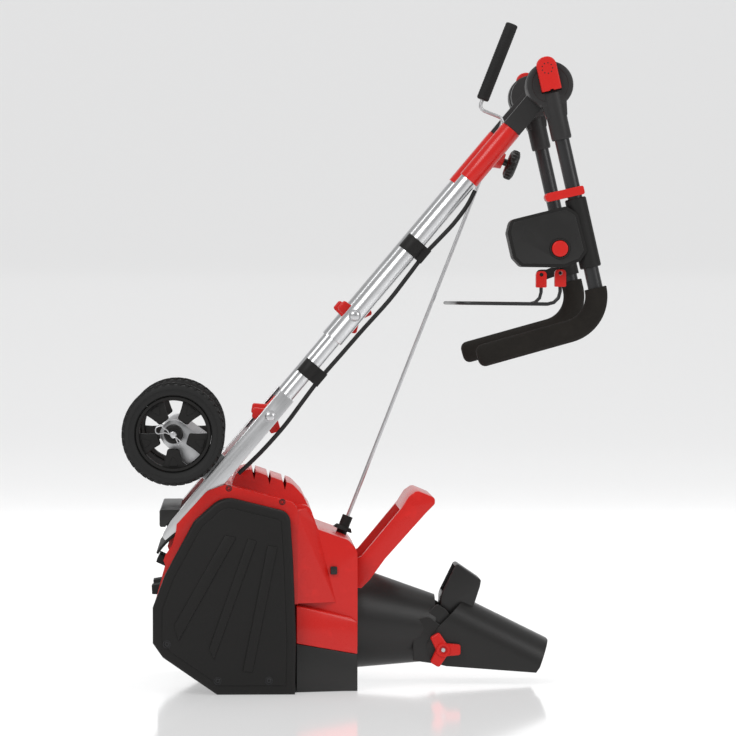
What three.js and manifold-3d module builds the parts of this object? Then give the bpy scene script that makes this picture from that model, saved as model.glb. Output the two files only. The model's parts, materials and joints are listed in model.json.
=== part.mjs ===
// Corded electric snow thrower, standing on its intake mouth with the handlebar folded over.
// Millimetres. X runs from the ground side to the top of the machine, Y runs across its width,
// Z is up in this storage pose, so the machine's front faces down.

import * as THREE from 'three';
import { mergeVertices } from 'three/addons/utils/BufferGeometryUtils.js';
import Module from 'manifold-3d';

const wasm = await Module();
wasm.setup();

// ---------------------------------------------------------------- driving sizes

const GAP = 0.4;
const WALL = 3;
const SCRAPER_THICKNESS = 4;

const BODY_HALF = 178;
const COVER_DEPTH = 32;
const COVER_INSET = 10;
const TOWER_HALF = 150;
const TOWER_RIGHT = 198;
const LIP_HEIGHT = 72;

const AUGER_CENTRE = [-33, 165];
const AUGER_RADIUS = 104;
const AUGER_CLEARANCE = 4;
const AUGER_HALF = 170;
const AUGER_SHAFT_RADIUS = 9;
const AUGER_PULLEY_RADIUS = 55;
const MOTOR_CENTRE = [42, 284];
const MOTOR_RADIUS = 29;
const MOTOR_PULLEY_RADIUS = 10;
const MOTOR_SHAFT_RADIUS = 5;
const PULLEY_WIDTH = 14;
const BELT_THICKNESS = 3;

const CHUTE_AXIS_Z = 108;
const CHUTE_RADIUS = 84;
const CHUTE_WALL = 3;
const DUCT_RADIUS = 76;
const CHUTE_END = 330;

const FRAME_HALF = 155;
const HINGE = [504.7, 977.9];
const FRAME_LEAN = 49.9;
const UPPER_TUBE_RADIUS = 14.5;
const MID_TUBE_RADIUS = 11.5;
const TUBE_WALL = 1.6;
const CABLE_RADIUS = 3.5;

const WHEEL_RADIUS = 83;
const WHEEL_WIDTH = 38;
const WHEEL_ALONG = 817;
const WHEEL_OFFSET = 101;
const AXLE_RADIUS = 5;

const FOLD_ANGLE = -77.2;
const HANDLE_HALF = 198;
const HANDLE_TUBE_RADIUS = 12;
const FOAM_RADIUS = HANDLE_TUBE_RADIUS + 6;
const FOAM_STARTS = { left: 334, right: 320 };
const HANDLE_CORNER = 390;
const HANDLE_BEND = 58;
const GRIP_ANGLE = 195.6;
const GRIP_LENGTH = 210;

const CRANK_FOOT = [182, 263];
const CRANK_LEAN = 68.5;
const CRANK_LENGTH = 720;
const CRANK_ROD_RADIUS = 3;
const CRANK_THROW = 45;
const CRANK_GRIP_LENGTH = 135;

const KNOB_RADIUS = 29;

// Casing and its slots.
// Both side covers share this outline: the ground side is on the left, the mouth at the bottom.
const COVER_OUTLINE = [
  [-29, 0], [96, 0], [98, 86], [93, 217], [88, 292, 20], [-20, 319, 40],
  [-66, 278, 20], [-112, 193], [-132, 140], [-132, 83], [-116, 60, 12],
];
// The red cover's outline over the body, open along its bottom edge.
const TOP_OUTLINE = [
  [101, 143], [101, 297, 8], [92, 307, 8], [-15, 336, 14], [-45, 326, 14], [-94, 272],
  [-95, 260], [-101, 239], [-112, 223], [-115, 214], [-112, 206], [-130, 143],
];
const COVER_LOW = 143;
const HUMP_SLOTS = [[31, 353], [56, 345], [81, 336]];
const RIBS = [
  [[-16, 257], [2, 253], [-91, 86], [-98, 112]],
  [[21, 252], [35, 247], [-34, 56], [-42, 75]],
  [[52, 240], [68, 238], [28, 36], [12, 38]],
];
const BEARING_RADIUS = 16;
const BELT_CLEARANCE = 1.2;

// Carry handle, chute and deflector.
const HANDLE_OUTLINE = [
  [TOWER_RIGHT + GAP, 211], [206, 215, 4], [272, 294, 20], [284, 313, 10], [297, 322, 8], [326, 310, 6],
  [326, 300, 6], [312, 286, 10], [244, 210, 30], [220, 177, 12], [206, 163], [TOWER_RIGHT + GAP, 163],
];
const HANDLE_HALF_WIDTH = 102;
const HANDLE_ARM = 13;
const CHUTE_START = TOWER_RIGHT + GAP;
const CHUTE_MOUTH_RADIUS = 55;
const CHUTE_MOUTH_Z = 90;
const CHUTE_PIVOT = [341, 59];
const EAR_INNER = 55.5;
const EAR_WALL = 4;
const HOOD_INNER = EAR_INNER + EAR_WALL + GAP;
const HOOD_WALL = 3;
const RING_RADIUS = 96;
const STUD_RADIUS = 4;

// Crank.
const CRANK_SOCKET_RADIUS = 9;
const PINION_RADIUS = 12;

// Frame: stations are distances down from the fold.
const CHANNEL_HALF = 14;
const CHANNEL_DEEP = 15;
const CHANNEL_WALL = 2;
const CHANNEL_TOP = 653;
const CHANNEL_END = 957;
const MID_TUBE_TOP = 470;
const MID_TUBE_END = 740;
const UPPER_TUBE_TOP = 96;
const UPPER_TUBE_END = 535;
const FOOT_STATION = 929;
const ARM_HALF = 25;
const SLEEVE_RADIUS = 17;
const SLEEVE_TOP = 91;
const SLEEVE_END = 198;
const BRIDGE_STATION = 137;
const CLAMP_REACH = 30;
const CABLE_SEAT = UPPER_TUBE_RADIUS + CABLE_RADIUS + 1;
const CABLE_DROP = CABLE_SEAT + 4;
const CLIP_STATIONS = [338, 598];
const CABLE_ROUTE = [
  [204, 0], [232, 6], [268, 8], [304, 6], [338, 4], [380, 6], [430, 8], [490, 6],
  [545, 5], [598, 4], [640, 6], [690, 9], [740, 8], [775, 5], [800, 2],
];

// Wheels.
const WHEEL_MIDDLE = 188;
const WHEEL_RIM_RADIUS = 61;
const HUB_RADIUS = 15;
const AXLE_END = WHEEL_MIDDLE + WHEEL_WIDTH / 2 + 7;

// Hinges.
const LOWER_DISC = [142, 174];
const UPPER_DISC = [LOWER_DISC[1] + GAP, 211];
const DISC_RADIUS = 37.5;
const PIVOT_RADIUS = 9;
const ARM_END = 90;
const SOCKET_START = 58;
const TAB_HALF = 16;
const TAB_FACE = 222;
const TAB_TRAVEL = 4;
const TAB_SEAT = UPPER_DISC[1] - TAB_TRAVEL;

// Switch box, start button, inlet and bail.
const BOX_OUTLINE = [
  [436, 740, 8], [445, 700, 8], [458, 686, 8],
  [528, 685, 10], [553, 695, 8], [564, 711, 8], [549, 771, 14],
  [530, 783, 8], [441, 761, 12],
];
const BOX_NEAR = -217;
const BOX_FAR = -164;
const SLEEVE_SPAN = [187, 300];
const BUTTON_AT = [520, 715];
const BUTTON_RADIUS = 13;
const BUTTON_PROUD = 5;
const BUTTON_TRAVEL = 4;
const INLET_AT = [476, 735];
const INLET_HALF = [15, 11];
const INLET_DEPTH = 18;
const PRONG_OFFSET = 8;
const PRONG_HALF = [0.8, 3];
const BAIL_PIVOT = [523, 676];
const BAIL_HALF = 186;
const BAIL_RADIUS = 3;
// A red cord hook slides on the near tube above the switch box.
const HOOK_STATION = 176;

// ---------------------------------------------------------------- colours

const finish = (color, roughness, metalness = 0) => ({ color, roughness, metalness });
const RED = finish(0xc8231e, 0.35);
const BLACK = finish(0x232322, 0.6);
const GREY = finish(0x3d3b3b, 0.6);
const STEEL = finish(0xc9ccd0, 0.3, 1);
const DARK_STEEL = finish(0x2a2a2c, 0.4, 0.6);
const RUBBER = finish(0x191919, 0.85);
const FOAM = finish(0x2b2926, 0.95);

// ---------------------------------------------------------------- solids and booleans

function toSolid(geometry) {
  const bare = geometry.index ? geometry.toNonIndexed() : geometry.clone();
  bare.deleteAttribute('normal');
  bare.deleteAttribute('uv');
  const merged = mergeVertices(bare, 1e-4);
  const vertProperties = new Float32Array(merged.attributes.position.array);
  const triVerts = new Uint32Array(merged.index.array);
  return new wasm.Manifold(new wasm.Mesh({ numProp: 3, vertProperties, triVerts }));
}

function toGeometry(solid) {
  const mesh = solid.getMesh();
  const geometry = new THREE.BufferGeometry();
  geometry.setAttribute('position', new THREE.BufferAttribute(new Float32Array(mesh.vertProperties), 3));
  geometry.setIndex(new THREE.BufferAttribute(new Uint32Array(mesh.triVerts), 1));
  geometry.computeVertexNormals();
  return geometry;
}

const unite = (...pieces) => toGeometry(pieces.map(toSolid).reduce((a, b) => a.add(b)));
const cut = (body, ...tools) => {
  const solids = tools.map(toSolid);
  return toGeometry(solids.reduce((a, b) => a.subtract(b), toSolid(body)));
};
const common = (a, b) => toGeometry(toSolid(a).intersect(toSolid(b)));

// ---------------------------------------------------------------- outlines

const radians = THREE.MathUtils.degToRad;
const polar = (angle, radius = 1) => [Math.cos(radians(angle)) * radius, Math.sin(radians(angle)) * radius];

// A closed outline through [x, z, corner radius] points.
function outline(points, steps = 3) {
  const shape = new THREE.Shape();
  points.forEach(([x, z, radius = 0], i) => {
    const here = new THREE.Vector2(x, z);
    if (radius === 0) {
      if (i === 0) shape.moveTo(x, z);
      else shape.lineTo(x, z);
      return;
    }
    const before = points[(i + points.length - 1) % points.length];
    const after = points[(i + 1) % points.length];
    const back = new THREE.Vector2(before[0] - x, before[1] - z).normalize();
    const ahead = new THREE.Vector2(after[0] - x, after[1] - z).normalize();
    const half = Math.acos(THREE.MathUtils.clamp(back.dot(ahead), -1, 1)) / 2;
    const reach = radius / Math.tan(half);
    const middle = back.clone().add(ahead).normalize().multiplyScalar(radius / Math.sin(half)).add(here);
    const start = here.clone().addScaledVector(back, reach).sub(middle);
    const end = here.clone().addScaledVector(ahead, reach).sub(middle);
    const from = start.angle();
    let turn = end.angle() - from;
    if (turn > Math.PI) turn -= 2 * Math.PI;
    if (turn < -Math.PI) turn += 2 * Math.PI;
    for (let k = 0; k <= steps; k += 1) {
      const angle = from + (turn * k) / steps;
      const px = middle.x + Math.cos(angle) * radius;
      const pz = middle.y + Math.sin(angle) * radius;
      if (i === 0 && k === 0) shape.moveTo(px, pz);
      else shape.lineTo(px, pz);
    }
  });
  return shape;
}

// The same outline with every side moved inwards by a distance.
function inset(points, distance) {
  const area = points.reduce((sum, [x, z], i) => {
    const [nx, nz] = points[(i + 1) % points.length];
    return sum + x * nz - nx * z;
  }, 0);
  const side = Math.sign(area);
  const edges = points.map(([x, z], i) => {
    const [nx, nz] = points[(i + 1) % points.length];
    const along = new THREE.Vector2(nx - x, nz - z).normalize();
    const inwards = new THREE.Vector2(-along.y, along.x).multiplyScalar(side * distance);
    return { point: new THREE.Vector2(x, z).add(inwards), along };
  });
  return points.map(([, , radius = 0], i) => {
    const a = edges[(i + edges.length - 1) % edges.length];
    const b = edges[i];
    const offset = b.point.clone().sub(a.point);
    const reach = offset.cross(b.along) / a.along.cross(b.along);
    const corner = a.point.clone().addScaledVector(a.along, reach);
    return [corner.x, corner.y, Math.max(radius - distance, 0)];
  });
}

// ---------------------------------------------------------------- solids from outlines

// An XZ outline as a slab between two Y planes.
function slab(points, low, high, steps) {
  const shape = points instanceof THREE.Shape ? points : outline(points, steps);
  const settings = { depth: high - low, bevelEnabled: false };
  const geometry = new THREE.ExtrudeGeometry(shape, settings);
  return geometry.rotateX(Math.PI / 2).translate(0, high, 0);
}

function box(lowX, highX, lowY, highY, lowZ, highZ) {
  const geometry = new THREE.BoxGeometry(highX - lowX, highY - lowY, highZ - lowZ);
  return geometry.translate((lowX + highX) / 2, (lowY + highY) / 2, (lowZ + highZ) / 2);
}

const vec = (x, y, z) => new THREE.Vector3(x, y, z);
const UP = vec(0, 1, 0);

// Moves a shape made about the Y axis so that it stands on a point and points along a direction.
function aim(geometry, at, direction) {
  const turn = new THREE.Quaternion().setFromUnitVectors(UP, direction.clone().normalize());
  return geometry.applyQuaternion(turn).translate(at.x, at.y, at.z);
}

function rod(from, to, radius, sides = 16, endRadius = radius) {
  const length = from.distanceTo(to);
  const middle = from.clone().add(to).multiplyScalar(0.5);
  return aim(new THREE.CylinderGeometry(endRadius, radius, length, sides), middle, to.clone().sub(from));
}

const crossRod = ([x, z], low, high, radius, sides) => rod(vec(x, low, z), vec(x, high, z), radius, sides);

function pipe(from, to, radius, bore, sides = 16) {
  const along = to.clone().sub(from).normalize();
  return cut(rod(from, to, radius, sides), rod(from.clone().sub(along), to.clone().add(along), bore, sides));
}

// A route of straight runs joined by round bends, sampled only where it bends.
class Route extends THREE.Curve {
  constructor(corners, bend, bendSteps = 5) {
    super();
    this.stations = [];
    this.tangents = [];
    corners.forEach((corner, i) => {
      if (i === 0 || i === corners.length - 1) {
        const other = i === 0 ? corners[1] : corners[i - 1];
        const tangent = corner.clone().sub(other).normalize().multiplyScalar(i === 0 ? -1 : 1);
        this.stations.push(corner);
        this.tangents.push(tangent);
        return;
      }
      const radius = Array.isArray(bend) ? bend[i - 1] : bend;
      const back = corners[i - 1].clone().sub(corner).normalize();
      const ahead = corners[i + 1].clone().sub(corner).normalize();
      const half = back.angleTo(ahead) / 2;
      const middle = back.clone().add(ahead).normalize().multiplyScalar(radius / Math.sin(half)).add(corner);
      const start = corner.clone().addScaledVector(back, radius / Math.tan(half)).sub(middle);
      const axis = back.clone().negate().cross(ahead).normalize();
      for (let k = 0; k <= bendSteps; k += 1) {
        const turn = ((Math.PI - 2 * half) * k) / bendSteps;
        this.stations.push(start.clone().applyAxisAngle(axis, turn).add(middle));
        this.tangents.push(back.clone().negate().applyAxisAngle(axis, turn));
      }
    });
  }

  nearest(u) {
    return Math.round(u * (this.stations.length - 1));
  }

  getPoint(u) {
    return this.stations[this.nearest(u)].clone();
  }

  getPointAt(u) {
    return this.getPoint(u);
  }

  getTangentAt(u) {
    return this.tangents[this.nearest(u)].clone();
  }
}

function circle(radius, sides) {
  const shape = new THREE.Shape();
  for (let k = 0; k < sides; k += 1) {
    const [x, y] = polar((360 * k) / sides, radius);
    if (k === 0) shape.moveTo(x, y);
    else shape.lineTo(x, y);
  }
  return shape;
}

function tube(corners, bend, radius, sides = 12, bendSteps = 5) {
  const route = new Route(corners, bend, bendSteps);
  const settings = { steps: route.stations.length - 1, extrudePath: route, bevelEnabled: false };
  return new THREE.ExtrudeGeometry(circle(radius, sides), settings);
}

// A turned shape about the Y axis from [radius, height] points that start and end on the axis.
function turned(profile, sides = 24) {
  return new THREE.LatheGeometry(profile.map(([r, h]) => new THREE.Vector2(r, h)), sides);
}

// ---------------------------------------------------------------- the model

const model = new THREE.Group();
model.name = 'snow_blower';

function add(name, geometry, look) {
  const mesh = new THREE.Mesh(geometry, new THREE.MeshStandardMaterial(look));
  mesh.name = name;
  model.add(mesh);
  return mesh;
}

const SIDES = [['left', -1], ['right', 1]];
const mirrored = (side, low, high) => (side < 0 ? [-high, -low] : [low, high]);

// ---------------------------------------------------------------- places along the frame

const frameAlong = vec(...[Math.cos(radians(FRAME_LEAN)), 0, Math.sin(radians(FRAME_LEAN))]);
const frameAcross = vec(-frameAlong.z, 0, frameAlong.x);

// A point a distance down the frame from the fold, a distance to its upper side, in the plane y.
function framePoint(down, across = 0, y = 0) {
  return vec(HINGE[0], y, HINGE[1]).addScaledVector(frameAlong, -down).addScaledVector(frameAcross, across);
}

const frameOutline = (points) => points.map(([down, across, radius = 0]) => {
  const point = framePoint(down, across);
  return [point.x, point.z, radius];
});

// ---------------------------------------------------------------- auger housing

const scoopRadius = AUGER_RADIUS + AUGER_CLEARANCE;
const plateInner = BODY_HALF - WALL - GAP - WALL;
const plateOuter = BODY_HALF - WALL - GAP;
const [augerX, augerZ] = AUGER_CENTRE;
const scoopEnd = 122;

function arc([cx, cz], radius, from, to, steps) {
  const points = [];
  for (let k = 0; k <= steps; k += 1) {
    const [x, z] = polar(from + ((to - from) * k) / steps, radius);
    points.push([cx + x, cz + z]);
  }
  return points;
}

function throatHole() {
  const from = vec(TOWER_RIGHT - 20, 0, CHUTE_AXIS_Z);
  const to = vec(TOWER_RIGHT + 20, 0, CHUTE_AXIS_Z);
  return rod(from, to, CHUTE_RADIUS + 1, 24);
}

function augerHousing() {
  const lipX = 96;
  const back = scoopRadius + WALL;
  const scoop = slab([
    ...arc(AUGER_CENTRE, back, scoopEnd, 0, 9), [lipX + WALL, 0],
    [lipX, 0], ...arc(AUGER_CENTRE, scoopRadius, 0, scoopEnd, 9),
  ], -plateInner - 1, plateInner + 1);
  const plateShape = inset(COVER_OUTLINE, WALL + GAP);
  const plates = SIDES.map(([, side]) => slab(plateShape, ...mirrored(side, plateInner, plateOuter), 3));
  const lipTop = LIP_HEIGHT;
  const lip = cut(
    box(lipX, TOWER_RIGHT, -TOWER_HALF, TOWER_HALF, 0, lipTop),
    box(lipX + WALL, TOWER_RIGHT - WALL, -TOWER_HALF + WALL, TOWER_HALF - WALL, WALL, lipTop + 1),
    throatHole(),
  );
  const onAxis = (x) => vec(x, 0, CHUTE_AXIS_Z);
  const ductAt = (x, radius, length) => rod(onAxis(x), onAxis(x + length), radius, 20);
  const ductStart = 20;
  const duct = ductAt(ductStart, DUCT_RADIUS + WALL, TOWER_RIGHT - WALL - ductStart);
  const sweep = slab([
    ...arc(AUGER_CENTRE, scoopRadius, 180, 0, 14), [lipX, 0], [lipX, -10], [-160, -10],
  ], -plateInner, plateInner);
  const bore = ductAt(ductStart - 40, DUCT_RADIUS, 260);
  const seats = crossRod(AUGER_CENTRE, -BODY_HALF, BODY_HALF, BEARING_RADIUS + GAP, 14);
  const motorHole = crossRod(MOTOR_CENTRE, -BODY_HALF, 0, MOTOR_PULLEY_RADIUS + 4, 12);
  return cut(unite(scoop, ...plates, lip, duct), sweep, bore, seats, motorHole);
}

add('auger_housing', augerHousing(), BLACK);

// ---------------------------------------------------------------- top cover with its tower

function topCover() {
  const closed = TOP_OUTLINE;
  const inner = inset(closed, WALL).map(([x, z, r]) => [x, z < COVER_LOW + 8 ? COVER_LOW - 40 : z, r]);
  const shell = cut(slab(closed, -BODY_HALF, BODY_HALF), slab(inner, -BODY_HALF + WALL, BODY_HALF - WALL));
  const towerOutline = [
    [97, LIP_HEIGHT + GAP], [TOWER_RIGHT, LIP_HEIGHT + GAP], [TOWER_RIGHT, 226, 14], [184, 244, 12],
    [134, 262, 6], [120, 302, 16], [97, 302],
  ];
  const towerInner = [
    [80, LIP_HEIGHT - 10], [TOWER_RIGHT - WALL, LIP_HEIGHT - 10],
    [TOWER_RIGHT - WALL, 223, 11], [182, 241, 9],
    [131, 259, 6], [118, 299, 13], [80, 299],
  ];
  const tower = slab(towerOutline, -TOWER_HALF, TOWER_HALF);
  const towerHollow = slab(towerInner, -TOWER_HALF + WALL, TOWER_HALF - WALL);
  const humpHalf = 118;
  const hump = slab([
    [-8, 326], [2, 352, 10], [22, 358, 8], [93, 334, 20], [110, 316, 14], [126, 284, 10], [130, 262],
    [96, 280], [40, 300],
  ], -humpHalf, humpHalf);
  const humpHollow = slab([
    [-3, 318], [6, 350, 8], [22, 354, 6], [91, 331, 18], [107, 314, 12], [122, 284, 8], [124, 255],
    [96, 260], [40, 280],
  ], -humpHalf + WALL, humpHalf - WALL);
  const notches = HUMP_SLOTS.map(([x, z]) => slab([
    [x, z - 12], [x + 5, z + 10], [x - 5, z + 10],
  ], -humpHalf - 1, humpHalf + 1));
  const rim = slab(inset(COVER_OUTLINE, COVER_INSET), -BODY_HALF - 1, BODY_HALF + 1, 2);
  const auger = crossRod(AUGER_CENTRE, -BODY_HALF + WALL, BODY_HALF - WALL, scoopRadius + WALL + GAP, 32);
  const crankHole = rod(crankPoint(-30), crankPoint(30), CRANK_SOCKET_RADIUS + GAP, 12);
  const channels = SIDES.map(([, side]) => slab(frameOutline([
    [CHANNEL_TOP, -CHANNEL_HALF - GAP], [CHANNEL_TOP, 60],
    [CHANNEL_END + GAP, 60], [CHANNEL_END + GAP, -CHANNEL_HALF - GAP],
  ]), ...mirrored(side, FRAME_HALF - CHANNEL_DEEP - GAP, FRAME_HALF + CHANNEL_DEEP + GAP)));
  return cut(
    unite(shell, tower, hump),
    towerHollow, humpHollow, ...notches, rim, auger, throatHole(), crankHole, ...channels,
  );
}

const crankAlong = vec(Math.cos(radians(CRANK_LEAN)), 0, Math.sin(radians(CRANK_LEAN)));
const crankPoint = (along) => vec(CRANK_FOOT[0], 0, CRANK_FOOT[1]).addScaledVector(crankAlong, along);
add('top_cover', topCover(), RED);

// ---------------------------------------------------------------- side covers

function sideCover(side) {
  const inner = BODY_HALF + GAP;
  const face = BODY_HALF + COVER_DEPTH - 4;
  const shell = cut(
    slab(COVER_OUTLINE, ...mirrored(side, inner, face)),
    slab(inset(COVER_OUTLINE, WALL), ...mirrored(side, inner - 1, face - WALL)),
  );
  const panel = slab(inset(COVER_OUTLINE, 15), ...mirrored(side, face - 1, face + 2));
  const ribs = RIBS.map((rib) => slab(rib, ...mirrored(side, face, face + 4)));
  return unite(shell, panel, ...ribs);
}

add('belt_cover', sideCover(-1), BLACK);
add('side_cover', sideCover(1), BLACK);

// ---------------------------------------------------------------- scraper, auger, motor and belt drive

const scraperStart = scoopEnd + 3;
const scraperEnd = 147;
add('scraper_bar', slab([
  ...arc(AUGER_CENTRE, scoopRadius + SCRAPER_THICKNESS, scraperStart, scraperEnd, 4),
  ...arc(AUGER_CENTRE, scoopRadius, scraperEnd, scraperStart, 4),
], -plateInner + GAP, plateInner - GAP), BLACK);

const beltMiddle = -(BODY_HALF + GAP + 14);

function augerShaft() {
  const near = beltMiddle - PULLEY_WIDTH / 2 - 2;
  return crossRod(AUGER_CENTRE, near, BODY_HALF + 6, AUGER_SHAFT_RADIUS, 12);
}

function augerPaddles() {
  const hub = crossRod(AUGER_CENTRE, -AUGER_HALF, AUGER_HALF, 24, 14);
  const bladeHalf = 7;
  const blades = [];
  const sweepSteps = 3;
  const paddleHalf = 42;
  for (const turn of [155, 335]) {
    const [dx, dz] = polar(turn);
    const tip = AUGER_RADIUS - 0.5;
    const paddle = [[22, -bladeHalf], [tip, -bladeHalf], [tip, bladeHalf], [22, bladeHalf]]
      .map(([r, w]) => [augerX + dx * r - dz * w, augerZ + dz * r + dx * w]);
    blades.push(slab(paddle, -paddleHalf, paddleHalf));
    for (const side of [-1, 1]) {
      for (let k = 0; k < sweepSteps; k += 1) {
        const [bx, bz] = polar(turn + (k + 1) * 28);
        const step = (AUGER_HALF - 2 - paddleHalf) / sweepSteps;
        const reach = AUGER_RADIUS - 1;
        const root = bladeHalf + 8;
        const blade = [[22, -root], [reach, -bladeHalf], [reach, bladeHalf], [22, root]]
          .map(([r, w]) => [augerX + bx * r - bz * w, augerZ + bz * r + bx * w]);
        const low = paddleHalf + k * step - 1;
        blades.push(slab(blade, ...mirrored(side, low, low + step + 1)));
      }
    }
  }
  const joined = unite(hub, ...blades);
  return cut(joined, crossRod(AUGER_CENTRE, -AUGER_HALF - 1, AUGER_HALF + 1, AUGER_SHAFT_RADIUS + GAP, 12));
}

function pulley(centre, radius, bore) {
  const half = PULLEY_WIDTH / 2;
  const body = turned([
    [0, -half], [radius + 3, -half], [radius, -half + 2],
    [radius, half - 2], [radius + 3, half], [0, half],
  ], 20);
  const placed = body.translate(centre[0], beltMiddle, centre[1]);
  return cut(placed, crossRod(centre, beltMiddle - half - 1, beltMiddle + half + 1, bore + GAP, 12));
}

add('auger_shaft', augerShaft(), STEEL);
add('auger_paddles', augerPaddles(), RUBBER);
add('auger_pulley', pulley(AUGER_CENTRE, AUGER_PULLEY_RADIUS, AUGER_SHAFT_RADIUS), BLACK);

for (const [name, side] of SIDES) {
  const low = plateInner + GAP;
  const ring = cut(
    crossRod(AUGER_CENTRE, ...mirrored(side, low, low + 8), BEARING_RADIUS, 14),
    crossRod(AUGER_CENTRE, ...mirrored(side, low - 1, low + 9), AUGER_SHAFT_RADIUS + GAP, 12),
  );
  add(`auger_bearing_${name}`, ring, STEEL);
}

const motorNear = -110;
const motorFar = 40;
const shaftEnd = beltMiddle - PULLEY_WIDTH / 2 - 2;
add('motor', unite(
  crossRod(MOTOR_CENTRE, motorNear, motorFar, MOTOR_RADIUS, 16),
  crossRod(MOTOR_CENTRE, motorFar - 1, motorFar + 14, MOTOR_RADIUS * 0.6, 12),
  crossRod(MOTOR_CENTRE, motorNear - 8, motorNear + 1, MOTOR_RADIUS * 0.45, 12),
), DARK_STEEL);
const rotor = unite(
  crossRod(MOTOR_CENTRE, shaftEnd, motorNear - 8 - GAP, MOTOR_SHAFT_RADIUS, 12),
  turned([
    [0, -PULLEY_WIDTH / 2], [MOTOR_PULLEY_RADIUS + 3, -PULLEY_WIDTH / 2],
    [MOTOR_PULLEY_RADIUS, 2 - PULLEY_WIDTH / 2],
    [MOTOR_PULLEY_RADIUS, PULLEY_WIDTH / 2 - 2],
    [MOTOR_PULLEY_RADIUS + 3, PULLEY_WIDTH / 2], [0, PULLEY_WIDTH / 2],
  ], 12).translate(MOTOR_CENTRE[0], beltMiddle, MOTOR_CENTRE[1]),
);
add('motor_pulley', rotor, STEEL);

// The outline of a belt round two pulleys.
function beltOutline(extra) {
  const from = new THREE.Vector2(...AUGER_CENTRE);
  const run = new THREE.Vector2(...MOTOR_CENTRE).sub(from);
  const lean = THREE.MathUtils.radToDeg(run.angle());
  const open = THREE.MathUtils.radToDeg(Math.acos((AUGER_PULLEY_RADIUS - MOTOR_PULLEY_RADIUS) / run.length()));
  return [
    ...arc(AUGER_CENTRE, AUGER_PULLEY_RADIUS + extra, lean + open, lean + 360 - open, 18),
    ...arc(MOTOR_CENTRE, MOTOR_PULLEY_RADIUS + extra, lean - open, lean + open, 5),
  ];
}

const beltHalf = PULLEY_WIDTH / 2 - 3;
add('drive_belt', cut(
  slab(beltOutline(BELT_CLEARANCE + BELT_THICKNESS), beltMiddle - beltHalf, beltMiddle + beltHalf),
  slab(beltOutline(BELT_CLEARANCE), beltMiddle - beltHalf - 1, beltMiddle + beltHalf + 1),
), RUBBER);

// ---------------------------------------------------------------- carry handle and chute

// A section outline drawn across the machine (first value) and along a normal, pushed along a direction.
function beam(points, at, lean, length, steps = 5) {
  const along = vec(Math.cos(radians(lean)), 0, Math.sin(radians(lean)));
  const normal = vec(-Math.sin(radians(lean)), 0, Math.cos(radians(lean)));
  const geometry = new THREE.ExtrudeGeometry(outline(points, steps), { depth: length, bevelEnabled: false });
  const place = new THREE.Matrix4().makeBasis(vec(0, 1, 0), normal, along).setPosition(at[0], 0, at[1]);
  return geometry.applyMatrix4(place);
}

function carryHandle() {
  const gapHalf = HANDLE_HALF_WIDTH - HANDLE_ARM;
  const bar = slab(HANDLE_OUTLINE, -HANDLE_HALF_WIDTH, HANDLE_HALF_WIDTH);
  const between = slab([[190, 120], [340, 200], [296, 268], [262, 296], [190, 230]], -gapHalf, gapHalf);
  const under = slab([[296, 262], [318, 292], [300, 310], [276, 276]], -gapHalf, gapHalf);
  const scooped = common(under, slab(inset(HANDLE_OUTLINE, 4), -gapHalf, gapHalf));
  const way = slab([[291, 262], [318, 290], [304, 300], [280, 274]], -gapHalf, gapHalf);
  return cut(bar, between, unite(scooped, way));
}

add('carry_handle', carryHandle(), RED);

// A leaning cone between two round ends along X.
function leaningCone(x0, z0, r0, x1, z1, r1, sides = 20) {
  const cone = new THREE.CylinderGeometry(r1, r0, x1 - x0, sides).rotateZ(-Math.PI / 2);
  const shear = new THREE.Matrix4().set(
    1, 0, 0, (x0 + x1) / 2,
    0, 1, 0, 0,
    (z1 - z0) / (x1 - x0), 0, 1, (z0 + z1) / 2,
    0, 0, 0, 1,
  );
  return cone.applyMatrix4(shear);
}

const chuteRod = (x0, x1, radius, sides = 20) => (
  leaningCone(x0, CHUTE_AXIS_Z, radius, x1, CHUTE_AXIS_Z, radius, sides)
);

function chuteBase() {
  const inner = TOWER_RIGHT - 20;
  const lean = (CHUTE_MOUTH_Z - CHUTE_AXIS_Z) / (CHUTE_END - CHUTE_START);
  const taper = (CHUTE_MOUTH_RADIUS - CHUTE_RADIUS) / (CHUTE_END - CHUTE_START);
  const cone = (wall, past) => leaningCone(
    CHUTE_START, CHUTE_AXIS_Z, CHUTE_RADIUS - wall,
    CHUTE_END + past, CHUTE_MOUTH_Z + lean * past, CHUTE_MOUTH_RADIUS - wall + taper * past,
  );
  const neck = chuteRod(inner, CHUTE_START + 0.5, CHUTE_RADIUS);
  const ring = chuteRod(inner, inner + 8, RING_RADIUS, 24);
  const [pivotX, pivotZ] = CHUTE_PIVOT;
  const earOutline = [
    [292, 108], [292, 40], [pivotX, pivotZ - 26, 10], [pivotX + 26, pivotZ - 16, 14],
    [pivotX + 20, pivotZ + 24, 16], [318, 112, 8],
  ];
  const ears = SIDES.map(([, side]) => slab(earOutline, ...mirrored(side, EAR_INNER, EAR_INNER + EAR_WALL)));
  const bore = unite(chuteRod(inner - 1, CHUTE_START + 1, CHUTE_RADIUS - CHUTE_WALL - 0.2), cone(CHUTE_WALL, 3));
  const pins = crossRod(CHUTE_PIVOT, -HOOD_INNER - 5, HOOD_INNER + 5, STUD_RADIUS + 2 * GAP, 6);
  const body = unite(neck, ring, cone(0, 0), ...ears);
  return cut(body, bore, pins);
}

add('chute_base', chuteBase(), BLACK);

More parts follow.
